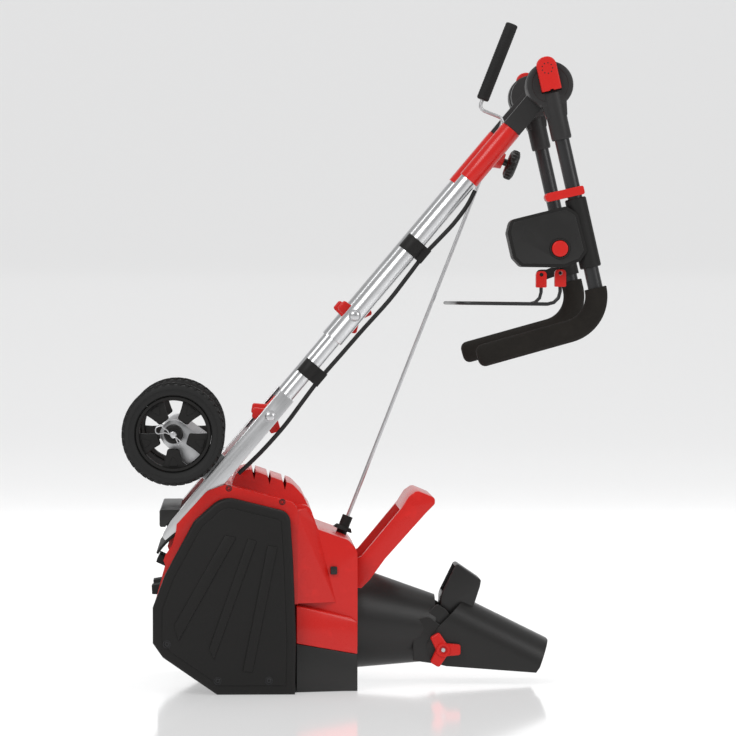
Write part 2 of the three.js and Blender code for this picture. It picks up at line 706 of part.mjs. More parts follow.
function chuteDeflector() {
  const half = HOOD_INNER + HOOD_WALL;
  const [pivotX, pivotZ] = CHUTE_PIVOT;
  const side = [
    [pivotX - 27, pivotZ + 8, 16], [pivotX - 20, pivotZ - 26, 20],
    [pivotX + 6, pivotZ - 28, 10], [461, 5],
    [473, 4, 4], [490, 13, 8], [501, 28], [517, 71],
    [394, 132], [372, 134, 6], [pivotX - 4, pivotZ + 40, 14],
  ];
  const lean = THREE.MathUtils.radToDeg(Math.atan2(71 - 132, 517 - 394));
  const start = [394 - 90, 132 - 90 * Math.tan(radians(lean))];
  const section = (wall, low) => [
    [-half + wall, low], [half - wall, low],
    [half - wall, -wall, 36 - wall], [-half + wall, -wall, 36 - wall],
  ];
  const hood = cut(
    common(slab(side, -half, half), beam(section(0, -220), start, lean, 280)),
    beam(section(HOOD_WALL, -230), [start[0] - 5, start[1] + 2.5], lean, 300),
  );
  const flapHalf = 38;
  const flapOutline = [
    [365, 199, 5], [406, 171, 5], [404, 160, 6], [393, 126],
    [380, 118], [352, 112], [338, 118, 6], [339, 146, 30],
  ];
  const flap = slab(flapOutline, -flapHalf, flapHalf);
  const flapHollow = slab([
    [361, 193, 4], [401, 168, 4], [399, 160, 6], [386, 124],
    [370, 96], [300, 96], [300, 130], [335, 150, 20],
  ], -flapHalf + WALL, flapHalf - WALL);
  const joined = unite(hood, cut(flap, flapHollow));
  return cut(joined, crossRod(CHUTE_PIVOT, -half - 1, half + 1, STUD_RADIUS + 2 * GAP, 6));
}

add('chute_deflector', chuteDeflector(), BLACK);

// A three-lobed clamping knob about the Y axis, with its stud, its back face at y = 0.
function starKnob(studLength, thickness = 15) {
  const lobes = [90, 210, 330].map((turn) => {
    const [x, z] = polar(turn, KNOB_RADIUS - 10);
    return unite(
      new THREE.CylinderGeometry(10, 10, thickness, 8).translate(x, thickness / 2, z),
      new THREE.BoxGeometry(20, thickness, KNOB_RADIUS - 10).translate(0, thickness / 2, (KNOB_RADIUS - 10) / 2)
        .rotateY(radians(90 - turn)),
    );
  });
  const hub = new THREE.CylinderGeometry(13, 14, thickness + 3, 12).translate(0, thickness / 2 + 1.5, 0);
  const stud = new THREE.CylinderGeometry(STUD_RADIUS, STUD_RADIUS, studLength + 2, 6);
  return unite(hub, ...lobes, stud.translate(0, 1 - studLength / 2, 0));
}

for (const [name, side] of SIDES) {
  const knob = starKnob(EAR_WALL + HOOD_WALL + 4);
  const place = vec(CHUTE_PIVOT[0], side * (HOOD_INNER + HOOD_WALL + GAP), CHUTE_PIVOT[1]);
  add(`chute_knob_${name}`, aim(knob, place, vec(0, side, 0)), RED);
}

// ---------------------------------------------------------------- crank

add('crank_base', cut(
  unite(
    rod(crankPoint(-28), crankPoint(13), CRANK_SOCKET_RADIUS, 12),
    rod(crankPoint(-11.5), crankPoint(-5), 17, 14, 13),
  ),
  rod(crankPoint(-40), crankPoint(20), CRANK_ROD_RADIUS + GAP, 8),
), BLACK);

const crankAcross = vec(-crankAlong.z, 0, crankAlong.x);
const crankKnee = crankPoint(CRANK_LENGTH);
const crankHandStart = crankKnee.clone().addScaledVector(crankAcross, CRANK_THROW);
const crankHandPoint = (along) => crankHandStart.clone().addScaledVector(crankAlong, along);
const gripStart = 16;
const gripEnd = gripStart + CRANK_GRIP_LENGTH;
add('crank_rod', unite(
  tube([crankPoint(-52), crankKnee, crankHandStart, crankHandPoint(gripEnd - 6)], 9, CRANK_ROD_RADIUS, 8, 3),
  rod(crankPoint(-62), crankPoint(-50), PINION_RADIUS, 12),
), STEEL);
add('crank_grip', cut(
  rod(crankHandPoint(gripStart), crankHandPoint(gripEnd), 10.5, 12),
  rod(crankHandPoint(gripStart - 1), crankHandPoint(gripEnd - 4), CRANK_ROD_RADIUS + GAP, 8),
), BLACK);

// ---------------------------------------------------------------- frame

const wheelCentre = framePoint(WHEEL_ALONG, WHEEL_OFFSET);
const WHEEL_AT = [wheelCentre.x, wheelCentre.z];
const knobStations = [484, 696];

function frameChannel(side) {
  const low = FRAME_HALF - CHANNEL_DEEP;
  const high = FRAME_HALF + CHANNEL_DEEP;
  const body = slab(frameOutline([
    [CHANNEL_TOP, -CHANNEL_HALF], [CHANNEL_TOP, CHANNEL_HALF], [CHANNEL_END - 30, CHANNEL_HALF],
    [CHANNEL_END, 9, 8], [CHANNEL_END, -9, 8], [CHANNEL_END - 30, -CHANNEL_HALF],
  ]), ...mirrored(side, low, high));
  const w = CHANNEL_WALL;
  const hollow = slab(frameOutline([
    [CHANNEL_TOP - 1, w - CHANNEL_HALF],
    [CHANNEL_TOP - 1, CHANNEL_HALF - w], [CHANNEL_END - 31, CHANNEL_HALF - w],
    [CHANNEL_END - w, 8, 6], [CHANNEL_END - w, -8, 6], [CHANNEL_END - 31, w - CHANNEL_HALF],
  ]), ...mirrored(side, low - 1, high - w));
  const plateLow = FRAME_HALF + 8;
  const arm = slab(frameOutline([
    [WHEEL_ALONG - ARM_HALF, 8], [WHEEL_ALONG - ARM_HALF, 60],
    [WHEEL_ALONG - 21, WHEEL_OFFSET + 21, 20],
    [WHEEL_ALONG + 21, WHEEL_OFFSET + 21, 20],
    [WHEEL_ALONG + ARM_HALF, 60], [WHEEL_ALONG + ARM_HALF, 8],
  ]), ...mirrored(side, plateLow, plateLow + 3));
  const axleHole = crossRod(WHEEL_AT, ...mirrored(side, 100, 200), AXLE_RADIUS + 2 * GAP, 8);
  const bolt = framePoint(knobStations[1]);
  const boltHole = crossRod([bolt.x, bolt.z], ...mirrored(side, 100, 200), STUD_RADIUS + 2 * GAP, 6);
  const scoop = crossRod(AUGER_CENTRE, -BODY_HALF, BODY_HALF, scoopRadius + SCRAPER_THICKNESS + 2 * GAP, 40);
  return cut(unite(cut(body, hollow), cut(arm, hollow)), axleHole, boltHole, scoop);
}

function frameTube(side, top, end, radius, bolts) {
  const y = side * FRAME_HALF;
  const holes = bolts.map((down) => {
    const point = framePoint(down);
    return crossRod([point.x, point.z], ...mirrored(side, 100, 200), STUD_RADIUS + 2 * GAP, 6);
  });
  const body = pipe(framePoint(end, 0, y), framePoint(top, 0, y), radius, radius - TUBE_WALL, 12);
  return cut(body, ...holes);
}

for (const [name, side] of SIDES) {
  add(`frame_channel_${name}`, frameChannel(side), STEEL);
  add(`mid_tube_${name}`, frameTube(side, MID_TUBE_TOP, MID_TUBE_END, MID_TUBE_RADIUS, knobStations), STEEL);
  const upperBolts = knobStations.slice(0, 1);
  add(`upper_tube_${name}`, frameTube(side, UPPER_TUBE_TOP, UPPER_TUBE_END, UPPER_TUBE_RADIUS, upperBolts), STEEL);
  knobStations.forEach((down, i) => {
    const back = [UPPER_TUBE_RADIUS, CHANNEL_DEEP][i] + GAP;
    const place = framePoint(down, 0, side * (FRAME_HALF - back));
    const knob = starKnob(2 * back + 3);
    add(`frame_knob_${['upper', 'lower'][i]}_${name}`, aim(knob, place, vec(0, -side, 0)), RED);
  });
}

const foot = framePoint(FOOT_STATION, CHANNEL_HALF + 8);
const footOutline = [
  [foot.x - 11, foot.z - 14, 3], [foot.x - 11, foot.z + 14, 3],
  [foot.x + 30, foot.z + 14], [foot.x + 30, foot.z - 14],
];
const footSeat = frameOutline([
  [FOOT_STATION - 60, CHANNEL_HALF + GAP], [FOOT_STATION + 60, CHANNEL_HALF + GAP],
  [FOOT_STATION + 60, -60], [FOOT_STATION - 60, -60],
]);
const footHalf = FRAME_HALF + CHANNEL_DEEP;
add('cross_foot', cut(slab(footOutline, -footHalf, footHalf), slab(footSeat, -footHalf - 1, footHalf + 1)), BLACK);

// ---------------------------------------------------------------- wheels

add('wheel_axle', crossRod(WHEEL_AT, -AXLE_END, AXLE_END, AXLE_RADIUS, 8), STEEL);

for (const [name, side] of SIDES) {
  const half = WHEEL_WIDTH / 2;
  const y = side * WHEEL_MIDDLE;
  const edge = WHEEL_RIM_RADIUS + GAP;
  const tyre = new THREE.LatheGeometry([
    [edge, -half + 3], [WHEEL_RADIUS - 5, -half], [WHEEL_RADIUS, -half + 5], [WHEEL_RADIUS, half - 5],
    [WHEEL_RADIUS - 5, half], [edge, half - 3], [edge, -half + 3],
  ].map(([r, h]) => new THREE.Vector2(r, h)), 28);
  const spokes = [];
  for (let k = 0; k < 5; k += 1) {
    const [dx, dz] = polar(-90 + k * 72);
    const spoke = [[8, -13], [WHEEL_RIM_RADIUS - 5, -9], [WHEEL_RIM_RADIUS - 5, 9], [8, 13]];
    spokes.push(slab(spoke.map(([r, w]) => [dx * r - dz * w, dz * r + dx * w]), -6, 6));
  }
  const ring = cut(
    crossRod([0, 0], -half + 3, half - 3, WHEEL_RIM_RADIUS, 28),
    crossRod([0, 0], -half, half, WHEEL_RIM_RADIUS - 7, 28),
  );
  const rim = cut(
    unite(ring, crossRod([0, 0], -half, half, HUB_RADIUS, 14), ...spokes),
    crossRod([0, 0], -half - 1, half + 1, AXLE_RADIUS + 2 * GAP, 8),
  );
  add(`tyre_${name}`, tyre.translate(WHEEL_AT[0], y, WHEEL_AT[1]), RUBBER);
  add(`wheel_rim_${name}`, rim.translate(WHEEL_AT[0], y, WHEEL_AT[1]), BLACK);
}

// ---------------------------------------------------------------- crank bridge and lower hinge arms

const bridgeCentre = framePoint(BRIDGE_STATION);
const clampAxis = vec(crankAlong.z, 0, -crankAlong.x);

function crankBridge() {
  const bar = slab(frameOutline([
    [BRIDGE_STATION - 28, 10, 4], [BRIDGE_STATION - 28, -12, 4], [BRIDGE_STATION + 28, -12, 4],
    [BRIDGE_STATION + 28, 10, 4],
  ]), -FRAME_HALF, FRAME_HALF);
  const boss = rod(bridgeCentre, bridgeCentre.clone().addScaledVector(clampAxis, CLAMP_REACH), 20, 12, 13);
  const sleeves = SIDES.map(([, side]) => rod(
    framePoint(SLEEVE_END, 0, side * FRAME_HALF),
    framePoint(SLEEVE_TOP, 0, side * FRAME_HALF),
    SLEEVE_RADIUS,
    14,
  ));
  const bores = SIDES.map(([, side]) => rod(
    framePoint(SLEEVE_END + 1, 0, side * FRAME_HALF),
    framePoint(SLEEVE_TOP - 1, 0, side * FRAME_HALF),
    UPPER_TUBE_RADIUS + GAP + 0.2,
    14,
  ));
  const crankBore = rod(crankPoint(600), crankPoint(CRANK_LENGTH - 12), CRANK_ROD_RADIUS + GAP, 8);
  return cut(unite(bar, boss, ...sleeves), ...bores, crankBore);
}

add('crank_bridge', crankBridge(), RED);

function clampKnob() {
  const thick = 18;
  const radius = 26;
  const disc = turned([
    [0, 0], [6, 0], [6, 6], [radius - 4, 7], [radius, 10],
    [radius, 7 + thick - 4], [radius - 5, 7 + thick], [0, 7 + thick],
  ], 20);
  const flutes = [];
  for (let k = 0; k < 10; k += 1) {
    const [x, z] = polar(k * 36, radius + 2);
    flutes.push(new THREE.CylinderGeometry(4, 4, thick + 4, 6).translate(x, 7 + thick / 2, z));
  }
  const at = bridgeCentre.clone().addScaledVector(clampAxis, CLAMP_REACH + GAP);
  return aim(cut(disc, ...flutes), at, clampAxis);
}

add('clamp_knob', clampKnob(), BLACK);

for (const [name, side] of SIDES) {
  const arm = slab(frameOutline([[0, -16], [0, 16], [SLEEVE_TOP - GAP, 16], [SLEEVE_TOP - GAP, -16]]),
    ...mirrored(side, FRAME_HALF - 14, FRAME_HALF + 15));
  const geometry = unite(
    crossRod(HINGE, ...mirrored(side, ...LOWER_DISC), DISC_RADIUS - 1.5, 24),
    crossRod(HINGE, ...mirrored(side, LOWER_DISC[1] - 1, LOWER_DISC[1] + 22), PIVOT_RADIUS, 12),
    arm,
  );
  add(`hinge_arm_lower_${name}`, geometry, GREY);
}

// ---------------------------------------------------------------- internal lead and its clips

const cablePoints = CABLE_ROUTE.map(([down, slack]) => framePoint(down, -CABLE_SEAT - slack, -FRAME_HALF));
const cablePath = new THREE.CatmullRomCurve3(cablePoints);
add('power_cable', new THREE.ExtrudeGeometry(
  circle(CABLE_RADIUS, 8),
  { steps: 28, extrudePath: cablePath, bevelEnabled: false },
), RUBBER);

CLIP_STATIONS.forEach((down, i) => {
  const held = [UPPER_TUBE_RADIUS, MID_TUBE_RADIUS][i];
  const half = 13;
  const ends = (across, extra) => [
    framePoint(down + half + extra, across, -FRAME_HALF),
    framePoint(down - half - extra, across, -FRAME_HALF),
  ];
  const bridge = slab(frameOutline([
    [down + half, -held - 1], [down - half, -held - 1],
    [down - half, -CABLE_DROP - 5], [down + half, -CABLE_DROP - 5],
  ]), -FRAME_HALF - 7, -FRAME_HALF + 7);
  const clip = cut(
    unite(rod(...ends(0, 0), held + 3.5, 14), bridge),
    rod(...ends(0, 1), held + GAP + 0.3, 14),
    rod(...ends(-CABLE_DROP, 1), CABLE_RADIUS + 1, 8),
  );
  add(`cable_clip_${['upper', 'lower'][i]}`, clip, BLACK);
});

// ---------------------------------------------------------------- folded handlebar

const foldAlong = vec(Math.cos(radians(FOLD_ANGLE)), 0, Math.sin(radians(FOLD_ANGLE)));
const foldAcross = vec(-foldAlong.z, 0, foldAlong.x);
const foldPoint = (out, across = 0, y = 0) => vec(HINGE[0], y, HINGE[1])
  .addScaledVector(foldAlong, out).addScaledVector(foldAcross, across);
const foldOutline = (points) => points.map(([out, across, radius = 0]) => {
  const point = foldPoint(out, across);
  return [point.x, point.z, radius];
});

// The clear hole for a handlebar tube between two distances from the fold.
function handleBore(start, end, y) {
  return rod(foldPoint(start, 0, y), foldPoint(end, 0, y), HANDLE_TUBE_RADIUS + GAP + 0.3, 14);
}

const gripDirection = vec(Math.cos(radians(GRIP_ANGLE)), 0, Math.sin(radians(GRIP_ANGLE)));

for (const [name, side] of SIDES) {
  const y = side * HANDLE_HALF;
  const disc = crossRod(HINGE, ...mirrored(side, ...UPPER_DISC), DISC_RADIUS, 24);
  const arm = rod(foldPoint(14, 0, y), foldPoint(ARM_END, 0, y), 13 + 6, 14, 15);
  const neck = slab(foldOutline([[10, -24], [52, -17], [52, 17], [10, 24]]), ...mirrored(side, 184, UPPER_DISC[1]));
  const slotHalf = TAB_HALF + GAP;
  const tabSlot = slab(
    foldOutline([[12, -slotHalf], [12, slotHalf], [-60, slotHalf], [-60, -slotHalf]]),
    ...mirrored(side, TAB_SEAT - TAB_TRAVEL - GAP, TAB_FACE),
  );
  const socket = handleBore(SOCKET_START, ARM_END + 1, y);
  const pivot = crossRod(HINGE, ...mirrored(side, LOWER_DISC[1], LOWER_DISC[1] + 23), PIVOT_RADIUS + GAP, 12);
  const inside = crossRod(HINGE, ...mirrored(side, 100, UPPER_DISC[0]), 70, 12);
  add(`hinge_arm_upper_${name}`, cut(unite(disc, arm, neck), tabSlot, socket, pivot, inside), GREY);
  const tab = slab(
    foldOutline([[10, -TAB_HALF, 2], [10, TAB_HALF, 2], [-45, TAB_HALF, 15], [-45, -TAB_HALF, 15]]),
    ...mirrored(side, TAB_SEAT, TAB_FACE),
  );
  add(`hinge_tab_${name}`, tab, RED);

  const corner = foldPoint(HANDLE_CORNER, 0, y);
  const gripEnd = corner.clone().addScaledVector(gripDirection, GRIP_LENGTH);
  const bar = (start, past, radius, sides) => tube([
    foldPoint(start, 0, y), corner, gripEnd.clone().addScaledVector(gripDirection, past),
  ], HANDLE_BEND, radius, sides, 5);
  add(`handlebar_tube_${name}`, cut(
    bar(SOCKET_START + GAP, -8, HANDLE_TUBE_RADIUS, 12),
    bar(SOCKET_START - 1, -7, HANDLE_TUBE_RADIUS - TUBE_WALL, 8),
  ), DARK_STEEL);
  const foamStart = FOAM_STARTS[name];
  add(`foam_grip_${name}`, cut(
    bar(foamStart, 0, FOAM_RADIUS, 12),
    bar(foamStart - 3, -6, HANDLE_TUBE_RADIUS + 2 * GAP, 12),
  ), FOAM);
}

// ---------------------------------------------------------------- switch box, start button and bail

function switchBox() {
  const body = slab(BOX_OUTLINE, BOX_NEAR, BOX_FAR);
  const hollow = slab(inset(BOX_OUTLINE, WALL), BOX_NEAR + WALL, BOX_FAR - WALL);
  const sleeveWall = 16.5;
  const sleeveEnds = SLEEVE_SPAN.map((out) => foldPoint(out, 0, -HANDLE_HALF));
  const sleeve = rod(...sleeveEnds, sleeveWall, 14);
  const bore = handleBore(SLEEVE_SPAN[0] - 1, SLEEVE_SPAN[1] + 1, -HANDLE_HALF);
  const buttonHole = crossRod(BUTTON_AT, BOX_NEAR - 1, BOX_NEAR + WALL + 1, BUTTON_RADIUS + GAP + 0.2, 14);
  const bailRoom = crossRod(BAIL_PIVOT, -BAIL_HALF - 10, -BAIL_HALF + 10, 12.5, 12);
  const [inletX, inletZ] = INLET_AT;
  const inletFloor = BOX_FAR - INLET_DEPTH;
  const inletBox = (grow, low, high) => box(
    inletX - INLET_HALF[0] - grow, inletX + INLET_HALF[0] + grow, low, high,
    inletZ - INLET_HALF[1] - grow, inletZ + INLET_HALF[1] + grow,
  );
  const prongs = [-PRONG_OFFSET, PRONG_OFFSET].map((offset) => box(
    inletX + offset - PRONG_HALF[0], inletX + offset + PRONG_HALF[0], inletFloor - 1, BOX_FAR - 4,
    inletZ - PRONG_HALF[1], inletZ + PRONG_HALF[1],
  ));
  const shell = unite(cut(body, hollow), sleeve, inletBox(WALL, inletFloor - WALL, BOX_FAR));
  return unite(cut(shell, bore, buttonHole, bailRoom, inletBox(0, inletFloor, BOX_FAR + 1)), ...prongs);
}

add('switch_box', switchBox(), BLACK);

const buttonStem = crossRod(BUTTON_AT, BOX_NEAR - BUTTON_PROUD, BOX_NEAR + WALL + 12, BUTTON_RADIUS, 14);
add('start_button', buttonStem, RED);

const bailDrop = 50;
const bailReach = 166;
for (const [name, side] of SIDES) {
  const [px, pz] = BAIL_PIVOT;
  const low = BAIL_HALF - 8;
  const bracket = cut(
    slab([[px - 9, pz - 22, 2], [px + 9, pz - 22, 2], [px + 9, pz + 6, 6], [px - 9, pz + 6, 6]],
      ...mirrored(side, low, low + 16)),
    rod(vec(px, side * BAIL_HALF, pz - 23), vec(px, side * BAIL_HALF, pz - 8), BAIL_RADIUS + GAP, 8),
    crossRod(BAIL_PIVOT, ...mirrored(side, low - 1, low + 17), 3.6, 8),
  );
  add(`bail_bracket_${name}`, bracket, RED);
}
add('bail', tube([
  vec(BAIL_PIVOT[0], -BAIL_HALF, BAIL_PIVOT[1] - 9),
  vec(BAIL_PIVOT[0], -BAIL_HALF, BAIL_PIVOT[1] - bailDrop),
  vec(BAIL_PIVOT[0] - bailReach, -BAIL_HALF, BAIL_PIVOT[1] - bailDrop + 2),
  vec(BAIL_PIVOT[0] - bailReach, BAIL_HALF, BAIL_PIVOT[1] - bailDrop + 2),
  vec(BAIL_PIVOT[0], BAIL_HALF, BAIL_PIVOT[1] - bailDrop),
  vec(BAIL_PIVOT[0], BAIL_HALF, BAIL_PIVOT[1] - 9),
], [20, 26, 26, 20], BAIL_RADIUS, 8, 3), DARK_STEEL);

// The far end of the bail turns in an arm clamped to the far handlebar tube.
const bailClampAt = 296;
const clampNear = BAIL_HALF + 8 + GAP;
add('bail_clamp', cut(
  unite(
    rod(foldPoint(bailClampAt - 14, 0, HANDLE_HALF), foldPoint(bailClampAt + 14, 0, HANDLE_HALF), 16, 14),
    slab([
      [BAIL_PIVOT[0] - 8, BAIL_PIVOT[1] - 8, 8],
      [BAIL_PIVOT[0] + 10, BAIL_PIVOT[1] - 8], [568, 680], [568, 700],
      [BAIL_PIVOT[0] + 10, BAIL_PIVOT[1] + 9], [BAIL_PIVOT[0] - 8, BAIL_PIVOT[1] + 9, 8],
    ], clampNear, clampNear + 7),
    crossRod(BAIL_PIVOT, BAIL_HALF - 8, clampNear + 1, 3, 8),
  ),
  handleBore(bailClampAt - 15, bailClampAt + 15, HANDLE_HALF),
), BLACK);

const hookPlate = slab(foldOutline([
  [HOOK_STATION - 7, -48, 6], [HOOK_STATION + 7, -48, 6],
  [HOOK_STATION + 7, 16, 3], [HOOK_STATION - 7, 16, 3],
]), -HANDLE_HALF - 16, -HANDLE_HALF + 16);
const hookWindow = slab(foldOutline([
  [HOOK_STATION - 9, -40], [HOOK_STATION + 9, -40], [HOOK_STATION + 9, -20], [HOOK_STATION - 9, -20],
]), -HANDLE_HALF - 10, -HANDLE_HALF + 10);
add('strain_hook', cut(
  hookPlate,
  hookWindow,
  handleBore(HOOK_STATION - 9, HOOK_STATION + 9, -HANDLE_HALF),
), RED);

// The origin is the middle of the footprint, on the floor.
const bounds = new THREE.Box3().setFromObject(model, true);
const middle = bounds.getCenter(vec(0, 0, 0));
model.position.set(-middle.x, -middle.y, -bounds.min.z);

export default model;
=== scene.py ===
"""A corded snow blower in its storage pose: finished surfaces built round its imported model."""

import json
import math

import bmesh
import bpy
from mathutils import Matrix, Vector


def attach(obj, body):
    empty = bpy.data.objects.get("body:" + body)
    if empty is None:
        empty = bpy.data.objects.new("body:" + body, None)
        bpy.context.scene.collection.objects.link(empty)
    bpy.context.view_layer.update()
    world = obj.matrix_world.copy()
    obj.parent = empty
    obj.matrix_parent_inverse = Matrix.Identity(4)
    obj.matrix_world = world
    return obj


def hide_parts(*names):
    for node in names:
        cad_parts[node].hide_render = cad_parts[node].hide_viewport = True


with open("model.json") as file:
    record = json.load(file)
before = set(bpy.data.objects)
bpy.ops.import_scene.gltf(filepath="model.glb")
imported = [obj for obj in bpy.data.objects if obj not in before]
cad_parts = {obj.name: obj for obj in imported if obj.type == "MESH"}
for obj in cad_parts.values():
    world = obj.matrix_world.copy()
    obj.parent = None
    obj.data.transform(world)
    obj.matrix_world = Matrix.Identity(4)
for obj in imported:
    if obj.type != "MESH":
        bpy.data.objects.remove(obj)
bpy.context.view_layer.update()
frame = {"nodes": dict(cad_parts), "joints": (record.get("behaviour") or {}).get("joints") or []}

bl_info = {
    "name": "Snow Blower",
    "version": (1, 0, 0),
    "blender": (4, 5, 0),
    "location": "View3D > Sidebar > Snow Blower",
    "description": "Builds the finished surfaces of a folding corded snow blower",
    "category": "Add Mesh",
}


# ---------------------------------------------------------------- places from the frame

JOINTS = {joint["name"]: joint for joint in frame["joints"]}


def joint_at(name):
    """Where a hinge's axis passes, in metres."""
    return Vector(JOINTS[name]["pos_m"])


def joint_axis(name):
    """A joint's axis as a unit vector."""
    return Vector(JOINTS[name]["axis"]).normalized()


AUGER = joint_at("auger_spin")
FOLD = joint_at("handlebar_fold")
DATUM = AUGER - Vector((-0.033, 0, 0.165))
SIDES = (("left", -1), ("right", 1))


def mm(x, z, y=0.0):
    """A point given in millimetres from the drawing's datum."""
    return Vector((x / 1000, y / 1000, z / 1000)) + DATUM


FRAME_ALONG = (FOLD - joint_at("frame_knob_turn_lower_left")) * Vector((1, 0, 1))
FRAME_ALONG.normalize()
FRAME_ACROSS = Vector((-FRAME_ALONG.z, 0, FRAME_ALONG.x))
CRANK_ALONG = joint_axis("crank_turn")
FOLD_ALONG = -joint_axis("strain_hook_slide")
FOLD_ACROSS = Vector((-FOLD_ALONG.z, 0, FOLD_ALONG.x))
FRAME_HALF = 155.0
HANDLE_HALF = 198.0


def on_frame(down, across=0.0, y=0.0):
    """A point some millimetres down the frame from the fold, and to its upper side."""
    return FOLD + (FRAME_ACROSS * across - FRAME_ALONG * down + Vector((0, y, 0))) / 1000


def on_handle(out, across=0.0, y=0.0):
    """A point some millimetres out along the folded handlebar."""
    return FOLD + (FOLD_ACROSS * across + FOLD_ALONG * out + Vector((0, y, 0))) / 1000


# ---------------------------------------------------------------- shader expressions


class Value:
    """A shader socket that plain arithmetic works on."""

    def __init__(self, finish, socket):
        self.finish = finish
        self.socket = socket

    def _maths(self, operation, first, second):
        return self.finish.node("ShaderNodeMath", {"operation": operation}, {0: first, 1: second})

    def __add__(self, other):
        return self._maths("ADD", self, other)

    def __radd__(self, other):
        return self._maths("ADD", other, self)

    def __sub__(self, other):
        return self._maths("SUBTRACT", self, other)

    def __rsub__(self, other):
        return self._maths("SUBTRACT", other, self)

    def __mul__(self, other):
        return self._maths("MULTIPLY", self, other)

    def __rmul__(self, other):
        return self._maths("MULTIPLY", other, self)


class Finish:
    """A material whose nodes are made by one method."""

    def __init__(self, name):
        self.material = bpy.data.materials.new(name)
        self.material.use_nodes = True
        self.tree = self.material.node_tree
        self.tree.nodes.clear()
        self.shader = self.tree.nodes.new("ShaderNodeBsdfPrincipled")
        output = self.tree.nodes.new("ShaderNodeOutputMaterial")
        self.tree.links.new(self.shader.outputs[0], output.inputs["Surface"])

    def node(self, kind, settings=None, inputs=None, output=0):
        """Adds a node, sets it, feeds its sockets and gives one output."""
        made = self.tree.nodes.new(kind)
        for name, value in (settings or {}).items():
            if name == "stops":
                for stop, (place, colour) in zip(self._stops(made.color_ramp, len(value)), value):
                    stop.position = place
                    stop.color = (*colour, 1)
            else:
                setattr(made, name, value)
        for name, value in (inputs or {}).items():
            self._feed(made.inputs[name], value)
        return Value(self, made.outputs[output])

    @staticmethod
    def _stops(ramp, count):
        while len(ramp.elements) < count:
            ramp.elements.new(1.0)
        return ramp.elements

    def _feed(self, socket, value):
        if isinstance(value, Value):
            self.tree.links.new(value.socket, socket)
        else:
            socket.default_value = value

    def surface(self, **values):
        """Feeds the main shader: base_color becomes Base Color."""
        for name, value in values.items():
            self._feed(self.shader.inputs[name.replace("_", " ").title().replace("Ior", "IOR")], value)

    def place(self, turn=(0, 0, 0), stretch=(1, 1, 1)):
        """Object coordinates, turned and stretched."""
        coordinates = self.node("ShaderNodeTexCoord", output="Object")
        turned = {"Vector": coordinates, "Rotation": turn}
        spun = self.node("ShaderNodeMapping", {"vector_type": "POINT"}, turned)
        return self.node("ShaderNodeMapping", {"vector_type": "POINT"}, {"Vector": spun, "Scale": stretch})

    def noise(self, scale, detail=3.0, roughness=0.55, vector=None):
        """Noise between 0 and 1."""
        inputs = {"Scale": scale, "Detail": detail, "Roughness": roughness}
        inputs["Vector"] = vector or self.place()
        return self.node("ShaderNodeTexNoise", {}, inputs, "Fac")

    def ramp(self, fac, *stops):
        """A colour ramp over a value."""
        return self.node("ShaderNodeValToRGB", {"stops": stops}, {"Fac": fac}, "Color")

    def mask(self, fac, low, high):
        """0 below low, 1 above high."""
        limits = {"Value": fac, "From Min": low, "From Max": high}
        return self.node("ShaderNodeMapRange", {"clamp": True}, limits)

    def mix(self, fac, first, second):
        """A mix of two colours."""
        colours = {"Factor": fac, 6: (*first, 1) if isinstance(first, tuple) else first}
        colours[7] = (*second, 1) if isinstance(second, tuple) else second
        return self.node("ShaderNodeMix", {"data_type": "RGBA"}, colours, 2)

    def bump(self, height, depth_mm, strength=1.0):
        """Feeds the normal with a height pattern of a depth in millimetres."""
        inputs = {"Height": height, "Distance": depth_mm / 1000, "Strength": strength}
        self.surface(normal=self.node("ShaderNodeBump", {}, inputs))


def shade(colour, factor):
    """The colour, lighter or darker."""
    return tuple(min(1.0, channel * factor) for channel in colour)


def moulded(name, colour, roughness, grain, depth, spread=0.12, coat=0.0, shine=0.28):
    """Injection-moulded plastic with a spark-eroded grain, faint flow marks and handling rub."""
    finish = Finish(name)
    flow = finish.noise(7, 2, vector=finish.place(stretch=(1, 0.6, 2.2)))
    rub = finish.mask(finish.noise(34, 5, 0.65), 0.56, 0.72)
    speck = finish.noise(grain, 2, 0.5)
    tone = finish.mix(flow, shade(colour, 1 - spread), shade(colour, 1 + spread))
    finish.surface(
        base_color=finish.mix(rub * 0.25, tone, shade(colour, 1.5)),
        roughness=finish.mask(speck, 0.2, 0.8) * 0.1 + rub * 0.07 + (roughness - 0.06),
        coat_weight=coat,
        coat_roughness=0.18,
        specular_ior_level=shine,
    )
    finish.bump(speck, depth)
    return finish.material


def drawn_steel(name, colour, roughness, turn, spots=0.3):
    """Zinc-plated drawn tube, with fine lines along its length and a faint bloom."""
    finish = Finish(name)
    lines = finish.noise(1, 4, 0.6, finish.place(turn, (14, 900, 900)))
    bloom = finish.mask(finish.noise(26, 4, 0.6), 0.42, 0.7)
    tone = finish.mix(lines, shade(colour, 0.84), shade(colour, 1.1))
    finish.surface(
        base_color=finish.mix(bloom * spots, tone, shade(colour, 0.82)),
        metallic=1.0,
        roughness=lines * 0.14 + bloom * 0.1 + (roughness - 0.08),
    )
    finish.bump(lines, 0.03)
    return finish.material


def powder_coat(name, colour, roughness):
    """Powder-coated steel with a light orange-peel skin."""
    finish = Finish(name)
    peel = finish.noise(420, 2, 0.4)
    cloud = finish.noise(15, 3)
    finish.surface(
        base_color=finish.mix(cloud, shade(colour, 0.8), shade(colour, 1.35)),
        metallic=0.25,
        roughness=cloud * 0.12 + (roughness - 0.05),
        coat_weight=0.2,
        coat_roughness=0.2,
        specular_ior_level=0.4,
    )
    finish.bump(peel, 0.05)
    return finish.material


